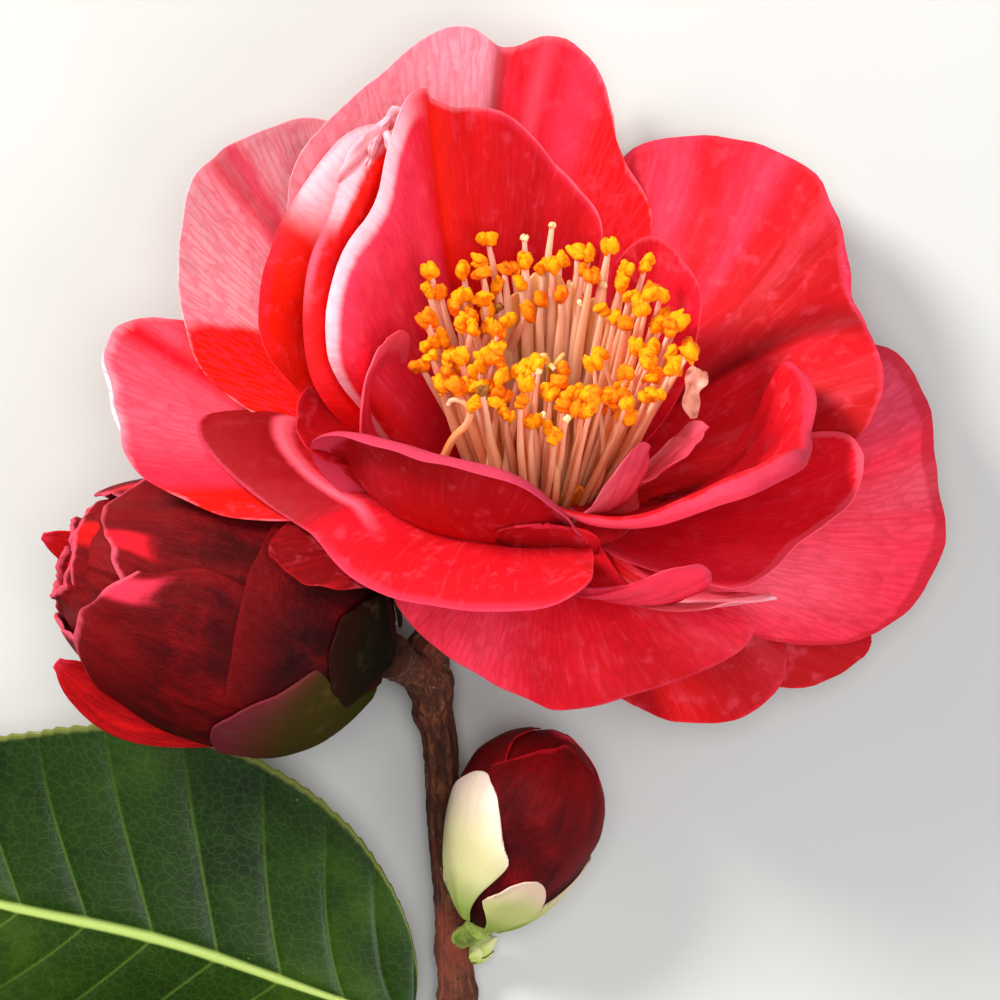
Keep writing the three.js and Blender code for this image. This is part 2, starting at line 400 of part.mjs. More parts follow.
function corners(g) {
  const at = g.attributes.position.array, ix = g.index.array, P = [], T = [];
  for (let i = 0; i < at.length; i += 3) P.push([at[i], at[i + 1], at[i + 2]]);
  for (let i = 0; i < ix.length; i += 3) if (ix[i] !== ix[i + 1] && ix[i + 1] !== ix[i + 2] && ix[i] !== ix[i + 2]) T.push([ix[i], ix[i + 1], ix[i + 2]]);
  return [P, T];
}
// the same solid with its closest corners drawn together, one body only
function rebuilt(m) {
  const whole = r => { const b = r ? r.decompose() : []; return b.length === 1 && Math.abs(b[0].volume() - m.volume()) < 0.05 * m.volume() && tidy(r); };
  for (const base of [m, m.simplify(3), m.simplify(4)]) for (const tol of [0.5, 0.35, 0.25, 0.17, 0.12, 0.08, 0.05]) {
    const r = solidOf(...corners(mergeVertices(geometryOf(base, 1), tol)));
    if (!whole(r)) continue;
    for (const least of [0.4, 0.3, 0.2]) {
      const [P, T0] = corners(mergeVertices(geometryOf(r, 1), 1e-3)), T = evened(P, T0, least), even = T && solidOf(P, T);
      if (whole(even)) return even;
    }
    return r;
  }
  return m;
}
// every edge shared by two faces only, once equal corners are one
function tidy(m) {
  const w = mergeVertices(geometryOf(m, UNIT), 2e-3), ix = w.index.array, seenEdges = new Map();
  for (let i = 0; i < ix.length; i += 3) for (let k = 0; k < 3; k++) {
    const a = ix[i + k], b = ix[i + (k + 1) % 3];
    if (a === b) return false;
    const key = Math.min(a, b) + '_' + Math.max(a, b);
    seenEdges.set(key, (seenEdges.get(key) || 0) + 1);
  }
  return [...seenEdges.values()].every(n => n === 2);
}
function geometryOf(m, scale) {
  const q = m.getMesh(), g = new THREE.BufferGeometry(), pos = [];
  for (let i = 0; i < q.numVert; i++) for (let k = 0; k < 3; k++) pos.push(q.vertProperties[i * q.numProp + k] * scale);
  g.setAttribute('position', new THREE.Float32BufferAttribute(pos, 3));
  g.setIndex(Array.from(q.triVerts));
  return g;
}
function place(name, body, grown, colour, rough = 0.6, metal = 0) {
  let m = body;
  const box = boxOf(body);
  for (const g of placed) if (!apart(box, boxOf(g.grown))) m = m.subtract(g.grown);
  m = largest(m);
  const slim = largest(m.simplify(SLIM));
  if (slim.numTri() > 8 && Math.abs(slim.volume() - m.volume()) < 0.08 * m.volume()) m = slim;
  m = rebuilt(m);
  for (let again = 0; again < 2; again++) for (const g of placed) {
    if (!apart(boxOf(m), boxOf(g.body)) && m.intersect(g.body).volume() > 1) m = rebuilt(largest(m.subtract(g.body)));
  }
  placed.push({ grown, body: m });
  const g = geometryOf(m, UNIT);
  g.computeVertexNormals();
  const o = new THREE.Mesh(g, new THREE.MeshStandardMaterial({ color: colour, roughness: rough, metalness: metal }));
  o.name = name;
  twig.add(o);
  meshes.push(o);
}

// twig, stalks and calyx
const STEM = [[457, 1062, -8, 21], [457, 1000, -6, 20], [450, 900, 2, 18], [443, 800, 8, 18], [440, 745, 12, 18], [432, 700, 16, 20], [425, 665, 20, 26], [440, 628, 24, 19], [480, 592, 28, 17], [520, 573, 38, 17], [541, 562, 56, 18]];
place('stem', limb(STEM, 18, 9), limb(STEM, 18, 9, GAP), 0x5b3a2a, 0.85);
{
  const foot = sub(BLOOM_HEART, mul(BLOOM_AXIS, 62)), top = sub(BLOOM_HEART, mul(BLOOM_AXIS, 2)), C = [], R = [17, 26, 38, 47, 53, 55];
  R.forEach((_, i) => C.push(add(foot, mul(sub(top, foot), i / (R.length - 1)))));
  place('bloom_calyx', turned(C, R, 12, [0, 0, 1]), turned(C, R.map(r => r + GAP), 12, [0, 0, 1], GAP), 0x7c8a4a, 0.7);
}
const LB_FOOT = [390, 655, BUD_HEIGHT - 10], LB_TIP = [72, 556, BUD_HEIGHT + 20];
const LB = [[0, 26], [0.04, 62], [0.12, 98], [0.25, 128], [0.42, 142], [0.6, 140], [0.75, 126], [0.88, 100], [1, 54]];
const LB_STALK = [[424, 672, 22, 20], [408, 668, 50, 19], [392, 657, 92, 24]];
place('left_bud', bud(LB_FOOT, LB_TIP, LB, 12, 16), bud(LB_FOOT, LB_TIP, LB, 12, 16, GAP), 0xa3182f, 0.55);
place('left_bud_stalk', limb(LB_STALK, 4, 8), limb(LB_STALK, 4, 8, GAP), 0x5b3a2a, 0.85);
const RB_FOOT = [480, 925, 45], RB_TIP = [560, 733, 62];
const RB = [[0, 16], [0.06, 34], [0.2, 55], [0.4, 72], [0.6, 80], [0.78, 75], [0.92, 50], [1, 14]];
const RB_STALK = [[455, 940, 2, 12], [468, 934, 18, 12], [480, 925, 42, 15]];
place('right_bud', bud(RB_FOOT, RB_TIP, RB, 10, 12), bud(RB_FOOT, RB_TIP, RB, 10, 12, GAP), 0x9c1730, 0.55);
place('right_bud_stalk', limb(RB_STALK, 3, 7), limb(RB_STALK, 3, 7, GAP), 0x6f8a3a, 0.75);
const patches = [
  ['left_bud_sepal_1', LB_FOOT, LB_TIP, LB, 0.10, 0.56, -100, -40, 1, 0x9aa05c],
  ['left_bud_sepal_2', LB_FOOT, LB_TIP, LB, 0.06, 0.30, -30, 40, 1, 0x7d7a45],
  ['right_bud_sepal', RB_FOOT, RB_TIP, RB, 0.08, 0.68, -75, 5, 1, 0xb9c48f],
];
for (const [name, foot, tip, prof, s0, s1, a0, a1, side, colour] of patches) {
  const G = budPatch(foot, tip, prof, s0, s1, a0 * side, a1 * side, PETAL_THICK / 2 + GAP + 2, 5, 5);
  place(name, plate(G, PETAL_THICK), room(G, PETAL_THICK, GAP), colour, 0.6);
}
{
  const tips = [['left_bud_tip_1', [100, 575, 150], [42, 536, 165], 46], ['left_bud_tip_2', [120, 700, 125], [56, 663, 150], 60]];
  for (const [name, a, b, w] of tips) {
    const p = seen(...a), q = seen(...b), d = sub(q, p), side = unit(cross(d, [0, 0, 1])), G = [];
    for (let i = 0; i <= 4; i++) {
      const u = i / 4, c = add(p, mul(d, u)), half = w / 2 * Math.sqrt(Math.max(0.02, 1 - u ** 2.2));
      G.push([-1, -0.5, 0, 0.5, 1].map(v => add(c, add(mul(side, half * v), [0, 0, 10 * v * v + 8 * Math.sin(u * 3)]))));
    }
    place(name, plate(G, PETAL_THICK), room(G, PETAL_THICK, GAP), PETAL_RED, 0.5);
  }
}
{
  const G = leafGrid(9, 6);
  place('leaf_blade', plate(G, LEAF_THICK), room(G, LEAF_THICK, GAP), 0x2f5a20, 0.4);
  const stalk = [[455, 1040, -6, 9], [435, 1032, -6, 9], [413, 1023, -5, 10]];
  place('leaf_stalk', limb(stalk, 3, 7), limb(stalk, 3, 7, GAP), 0x6c8440, 0.6);
  const lb = [[0, 6], [0.3, 12], [0.6, 12], [1, 4]];
  place('leaf_bud', bud([468, 958, -2], [496, 938, 8], lb, 6, 7), bud([468, 958, -2], [496, 938, 8], lb, 6, 7, GAP), 0xa9bb62, 0.6);
}

// stamens and pistil
for (let k = 0; k < STAMEN_TUFTS; k++) place('stamens_' + (k + 1), tuft(k), tuft(k, GAP), 0xe9a23b, 0.65);
{
  const C = [20, 80, 150, 215].map(h => add(BLOOM_HEART, mul(BLOOM_AXIS, h))), R = [9, 6, 5, 6];
  place('pistil', turned(C, R, 6, [0, 0, 1]), turned(C, R.map(r => r + GAP), 6, [0, 0, 1], GAP), 0xe8c79a, 0.6);
}

// the bloom's base, where petals and stamens join
{
  const H = [1.5, 8, 15, STAMEN_FOOT - GAP], R = [58, 88, 104, 106], C = H.map(h => add(BLOOM_HEART, mul(BLOOM_AXIS, h)));
  place('bloom_base', turned(C, R, 12, [0, 0, 1]), turned(C, R.map(r => r + GAP), 12, [0, 0, 1], GAP), PETAL_RED, 0.6);
}

// petals, inner ones first so that each outer one gives way to them
const ORDER = ['front_lip_petal', 'right_scoop_petal', 'back_inner_petal', 'left_inner_petal', 'front_left_petal', 'front_petal', 'right_under_petal', 'right_back_inner_petal', 'left_mid_petal', 'back_petal', 'back_right_petal', 'right_petal', 'far_left_petal', 'upper_left_petal', 'bottom_petal', 'lower_right_petal', 'lower_left_petal', 'right_petaloid_1', 'right_petaloid_2', 'front_right_petal', 'front_right_tip_petal', 'left_small_petal', 'left_petaloid'];
for (const name of ORDER) {
  const p = PETALS.find(q => q.name === name), small = p.w < SMALL_PETAL, nu = 3, nv = small ? 4 : 8;
  const G = petalGrid(p, nu, nv, PETAL_FROM);
  place(name, plate(G, PETAL_THICK), room(G, PETAL_THICK, GAP), PETAL_RED, 0.5);
}

// the part's frame: origin under the middle of the whole, on the plane it lies on
const box = new THREE.Box3().setFromObject(twig), shift = new THREE.Vector3((box.min.x + box.max.x) / 2, (box.min.y + box.max.y) / 2, box.min.z);
for (const m of meshes) m.position.sub(shift);
const group = new THREE.Group();
group.name = 'camellia_flowering_twig';
group.add(twig);

export default group;
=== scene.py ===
import math

import bpy
import numpy as np
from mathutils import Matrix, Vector


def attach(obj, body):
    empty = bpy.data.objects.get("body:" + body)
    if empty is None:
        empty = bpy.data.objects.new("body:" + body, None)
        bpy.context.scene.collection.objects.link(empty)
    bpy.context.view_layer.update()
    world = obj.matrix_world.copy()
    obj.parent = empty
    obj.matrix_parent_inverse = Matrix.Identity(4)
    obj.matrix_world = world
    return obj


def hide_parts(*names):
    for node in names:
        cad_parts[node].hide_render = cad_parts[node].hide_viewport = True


# A cut camellia twig, lying down: petals, stamens, buds, bark and leaf in detail, built round
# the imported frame. Places are design units as seen from straight above (x right, y down the
# view, both 0 to 1000), with a height z towards the eye, as in the frame's own source.

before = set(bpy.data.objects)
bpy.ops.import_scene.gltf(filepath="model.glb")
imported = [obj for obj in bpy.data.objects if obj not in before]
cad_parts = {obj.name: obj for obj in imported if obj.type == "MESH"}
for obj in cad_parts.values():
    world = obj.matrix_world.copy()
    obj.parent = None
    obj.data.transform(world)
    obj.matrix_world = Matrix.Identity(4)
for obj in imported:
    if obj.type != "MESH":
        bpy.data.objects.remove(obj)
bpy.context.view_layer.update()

UNIT = 0.108e-3                  # metres in one design unit at the plane of focus
EYE = 400 / 0.108                # the eye above the plane of focus, design units
FOCUS = 200.0
SHIFT = np.array([-21.12832, -6.80033, -2.99477]) * 1e-3   # the frame's origin in design places
AXIS = np.array([0.03, 0.72, 0.69])
AXIS = AXIS / np.linalg.norm(AXIS)
HEART = np.array([46.0, 0.0, 110.0])
FAN = math.radians(145)
rng = np.random.default_rng(20)


# ---- vectors and places
def unit(v):
    return v / np.maximum(np.linalg.norm(v, axis=-1, keepdims=True), 1e-9)


def seen(x, y, z):
    k = (EYE - (z - FOCUS)) / EYE
    return np.array([(x - 500) * k, (500 - y) * k, z], float)


def shown(P):
    """Where a place shows in the view: x, y in 0 to 1000."""
    k = EYE / (EYE - (P[..., 2] - FOCUS))
    return 500 + P[..., 0] * k, 500 - P[..., 1] * k


def ease(a, b, x):
    t = np.clip((x - a) / (b - a), 0, 1)
    return t * t * (3 - 2 * t)


def turn(v, axis, ang):
    axis = unit(axis)
    c, s = np.cos(ang)[..., None], np.sin(ang)[..., None]
    return v * c + np.cross(axis, v) * s + axis * (np.sum(axis * v, -1, keepdims=True)) * (1 - c)


def waves(seed, n=7):
    """A smooth random field of two coordinates, about -1 to 1."""
    r = np.random.default_rng(seed)
    f = r.normal(size=(n, 2))
    p = r.uniform(0, 2 * math.pi, n)
    a = r.uniform(0.5, 1, n)
    a = a / np.sqrt((a * a).sum() / 2)

    def at(x, y):
        out = 0.0
        for k in range(n):
            out = out + a[k] * np.cos(f[k, 0] * x + f[k, 1] * y + p[k])
        return out * 0.7
    return at


def spline(rows, n):
    """A smooth line through rows, n + 1 places."""
    P = np.array(rows, float)
    P = np.vstack([2 * P[0] - P[1], P, 2 * P[-1] - P[-2]])
    k = len(P) - 3
    out = []
    for x in np.linspace(0, k, n + 1):
        i = min(int(x), k - 1)
        f = x - i
        a, b, c, d = P[i:i + 4]
        out.append(0.5 * ((2 * b) + (-a + c) * f + (2 * a - 5 * b + 4 * c - d) * f * f + (-a + 3 * b - 3 * c + d) * f ** 3))
    return np.array(out)


def along(C, hint):
    T = unit(np.gradient(C, axis=0))
    N = []
    n = np.array(hint, float)
    for t in T:
        n = n - t * np.dot(t, n)
        n = n / np.linalg.norm(n)
        N.append(n)
    N = np.array(N)
    return T, N, np.cross(T, N)


# ---- meshes
def mesh(name, V, F, mats, uv=None, node=(), slot=None, which=None, smooth=True):
    """An object from places in design units, faces of 3 or 4 corners and one uv for each place."""
    P = np.asarray(V, float) * UNIT - SHIFT
    me = bpy.data.meshes.new(name)
    if isinstance(F, np.ndarray):
        F = [F]
    loops = np.concatenate([f.ravel() for f in F]).astype(np.int32)
    total = np.concatenate([np.full(len(f), f.shape[1]) for f in F]).astype(np.int32)
    start = np.concatenate([[0], np.cumsum(total)[:-1]]).astype(np.int32)
    me.vertices.add(len(P))
    me.vertices.foreach_set("co", P.astype(np.float32).ravel())
    me.loops.add(len(loops))
    me.loops.foreach_set("vertex_index", loops)
    me.polygons.add(len(total))
    me.polygons.foreach_set("loop_start", start)
    me.polygons.foreach_set("loop_total", total)
    if which is not None:
        me.polygons.foreach_set("material_index", np.asarray(which, np.int32))
    me.update(calc_edges=True)
    me.validate()
    if uv is not None:
        layer = me.uv_layers.new(name="UVMap")
        idx = np.zeros(len(me.loops), np.int32)
        me.loops.foreach_get("vertex_index", idx)
        layer.data.foreach_set("uv", np.asarray(uv, np.float32)[idx].ravel())
    if smooth:
        me.polygons.foreach_set("use_smooth", np.ones(len(me.polygons), bool))
        me.set_sharp_from_angle(angle=math.radians(64))
    ob = bpy.data.objects.new(name, me)
    bpy.context.scene.collection.objects.link(ob)
    for m in mats if isinstance(mats, (list, tuple)) else [mats]:
        me.materials.append(m)
    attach(ob, "root")
    if node:
        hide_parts(*([node] if isinstance(node, str) else node))
    return ob


def grid_normals(G):
    return unit(np.cross(np.gradient(G, axis=0), np.gradient(G, axis=1)))


def shell(G, U, W, thick):
    """A closed thin body round the sheet G: two faces and a rounded rim. Returns V, F, uv."""
    nu, nv = G.shape[0] - 1, G.shape[1] - 1
    N = grid_normals(G)
    t = np.broadcast_to(np.asarray(thick, float), G.shape[:2])[..., None] / 2
    top, low = G + N * t, G - N * t
    # the rim: a line set a little further out than both faces
    ring = [(nu, j) for j in range(nv + 1)]
    ring = [(i, 0) for i in range(nu)] + ring + [(i, nv) for i in range(nu - 1, -1, -1)] + [(0, j) for j in range(nv - 1, 0, -1)]
    rim, out = [], []
    for (i, j) in ring:
        d = np.zeros(3)
        if i == nu:
            d = d + unit(G[i, j] - G[i - 1, j])
        if i == 0:
            d = d + unit(G[i, j] - G[i + 1, j])
        if j == 0:
            d = d + unit(G[i, j] - G[i, j + 1])
        if j == nv:
            d = d + unit(G[i, j] - G[i, j - 1])
        out.append(G[i, j] + unit(d) * t[i, j] * 0.8)
        rim.append(i * (nv + 1) + j)
    rim = np.array(rim)
    half = (nu + 1) * (nv + 1)
    V = np.vstack([top.reshape(-1, 3), low.reshape(-1, 3), np.array(out)])
    i, j = np.meshgrid(np.arange(nu), np.arange(nv), indexing="ij")
    a = (i * (nv + 1) + j).ravel()
    up = np.stack([a, a + nv + 1, a + nv + 2, a + 1], 1)
    dn = np.stack([half + a, half + a + 1, half + a + nv + 2, half + a + nv + 1], 1)
    m = len(rim)
    k = np.arange(m)
    n = (k + 1) % m
    o = 2 * half
    s1 = np.stack([rim[k], rim[n], o + n, o + k], 1)
    s2 = np.stack([o + k, o + n, half + rim[n], half + rim[k]], 1)
    F = np.vstack([up, dn, s1, s2])
    uv0 = np.stack([U.ravel(), W.ravel()], 1)
    uv = np.vstack([uv0, uv0, uv0[rim]])
    return V, F, uv


def ringed(C, R, N, B, nc, wob=None):
    """Rings round a line, closed at both ends. R (n,) or (n, nc)."""
    n = len(C)
    a = np.arange(nc) / nc * 2 * math.pi
    R = np.asarray(R, float)
    R = R[:, None] * np.ones((1, nc)) if R.ndim == 1 else R
    V = C[:, None] + R[..., None] * (np.cos(a)[None, :, None] * N[:, None] + np.sin(a)[None, :, None] * B[:, None])
    V = np.vstack([V.reshape(-1, 3), C[:1], C[-1:]])
    i, j = np.meshgrid(np.arange(n - 1), np.arange(nc), indexing="ij")
    i, j = i.ravel(), j.ravel()
    k = (j + 1) % nc
    Q = np.stack([i * nc + j, i * nc + k, (i + 1) * nc + k, (i + 1) * nc + j], 1)
    j = np.arange(nc)
    k = (j + 1) % nc
    T = np.vstack([np.stack([np.full(nc, n * nc), k, j], 1), np.stack([np.full(nc, n * nc + 1), (n - 1) * nc + j, (n - 1) * nc + k], 1)])
    u = np.repeat(np.linspace(0, 1, n), nc)
    v = np.tile(1 - np.abs(np.arange(nc) / nc * 2 - 1), n)
    uv = np.vstack([np.stack([u, v], 1), [[0, 0.5], [1, 0.5]]])
    return V, [Q, T], uv


class Heap:
    """Many small bodies gathered into one mesh."""

    def __init__(self):
        self.V, self.Q, self.T, self.uv, self.n = [], [], [], [], 0
        self.mq, self.mt = [], []

    def put(self, V, F, uv, which=0):
        for f in ([F] if isinstance(F, np.ndarray) else F):
            if f.shape[1] == 4:
                self.Q.append(f + self.n)
                self.mq.append(np.full(len(f), which))
            else:
                self.T.append(f + self.n)
                self.mt.append(np.full(len(f), which))
        self.V.append(V)
        self.uv.append(uv)
        self.n += len(V)

    def make(self, name, mats, **more):
        F = ([np.vstack(self.Q)] if self.Q else []) + ([np.vstack(self.T)] if self.T else [])
        return mesh(name, np.vstack(self.V), F, mats, uv=np.vstack(self.uv), which=np.concatenate(self.mq + self.mt), **more)


# ---- materials, all from nodes
def lin(c):
    """An sRGB colour, 0 to 255, as linear."""
    c = np.array(c, float) / 255
    c = np.where(c <= 0.04045, c / 12.92, ((c + 0.055) / 1.055) ** 2.4)
    return (float(c[0]), float(c[1]), float(c[2]), 1.0)


class Nodes:
    def __init__(self, name):
        self.m = bpy.data.materials.new(name)
        self.m.use_nodes = True
        self.t = self.m.node_tree
        self.t.nodes.clear()
        self.out = self.t.nodes.new("ShaderNodeOutputMaterial")

    def new(self, kind, **props):
        n = self.t.nodes.new("ShaderNode" + kind)
        for k, v in props.items():
            setattr(n, k, v)
        return n

    def link(self, a, b):
        self.t.links.new(a, b)

    def put(self, sock, value):
        if hasattr(value, "links"):
            self.link(value, sock)
        else:
            sock.default_value = value

    def math(self, op, a, b=None, clamp=False, plus=None):
        n = self.new("Math", operation=op, use_clamp=clamp)
        self.put(n.inputs[0], a)
        if plus is not None:
            n.inputs[2].default_value = plus
        if b is not None:
            self.put(n.inputs[1], b)
        return n.outputs[0]

    def span(self, x, a, b, c=0.0, d=1.0, smooth=True):
        n = self.new("MapRange", interpolation_type="SMOOTHSTEP" if smooth else "LINEAR")
        self.put(n.inputs[0], x)
        for i, v in zip((1, 2, 3, 4), (a, b, c, d)):
            n.inputs[i].default_value = v
        return n.outputs[0]

    def mix(self, f, a, b, how="MIX"):
        n = self.new("Mix", data_type="RGBA", blend_type=how)
        self.put(n.inputs[0], f)
        self.put(n.inputs[6], a)
        self.put(n.inputs[7], b)
        return n.outputs[2]

    def ramp(self, x, stops, how="EASE"):
        n = self.new("ValToRGB")
        n.color_ramp.interpolation = how
        e = n.color_ramp.elements
        while len(e) < len(stops):
            e.new(0.5)
        for el, (p, c) in zip(e, stops):
            el.position = p
            el.color = c
        self.put(n.inputs[0], x)
        return n.outputs[0]

    def uv(self):
        c = self.new("TexCoord")
        s = self.new("SeparateXYZ")
        self.link(c.outputs["UV"], s.inputs[0])
        return s.outputs[0], s.outputs[1]

    def where(self):
        return self.new("TexCoord").outputs["Object"]

    def vec(self, x, y, z=0.0):
        n = self.new("CombineXYZ")
        self.put(n.inputs[0], x)
        self.put(n.inputs[1], y)
        self.put(n.inputs[2], z)
        return n.outputs[0]

    def noise(self, vec, scale, detail=2.0, rough=0.5, warp=0.0, flat=False):
        n = self.new("TexNoise", noise_dimensions="2D" if flat else "3D")
        self.put(n.inputs["Vector"], vec)
        n.inputs["Scale"].default_value = scale
        n.inputs["Detail"].default_value = detail
        n.inputs["Roughness"].default_value = rough
        n.inputs["Distortion"].default_value = warp
        return n.outputs["Fac"]

    def bump(self, h, strength, dist, after=None):
        n = self.new("Bump")
        n.inputs["Strength"].default_value = strength
        n.inputs["Distance"].default_value = dist
        self.put(n.inputs["Height"], h)
        if after is not None:
            self.link(after, n.inputs["Normal"])
        return n.outputs[0]

    def surface(self, colour, rough, normal=None, glow=None, through=0.0, sheen=0.0, coat=0.0, spec=0.5, sheen_tint=None, coat_rough=0.2):
        p = self.new("BsdfPrincipled")
        self.put(p.inputs["Base Color"], colour)
        self.put(p.inputs["Roughness"], rough)
        p.inputs["Specular IOR Level"].default_value = spec
        p.inputs["Sheen Weight"].default_value = sheen
        p.inputs["Sheen Roughness"].default_value = 0.4
        if sheen_tint:
            p.inputs["Sheen Tint"].default_value = sheen_tint
        p.inputs["Coat Weight"].default_value = coat
        p.inputs["Coat Roughness"].default_value = coat_rough
        if normal is not None:
            self.link(normal, p.inputs["Normal"])
        if not through:
            self.link(p.outputs[0], self.out.inputs[0])
            return self.m
        t = self.new("BsdfTranslucent")
        self.put(t.inputs["Color"], glow if glow is not None else colour)
        m = self.new("MixShader")
        m.inputs[0].default_value = through
        self.link(p.outputs[0], m.inputs[1])
        self.link(t.outputs[0], m.inputs[2])
        self.link(m.outputs[0], self.out.inputs[0])
        return self.m
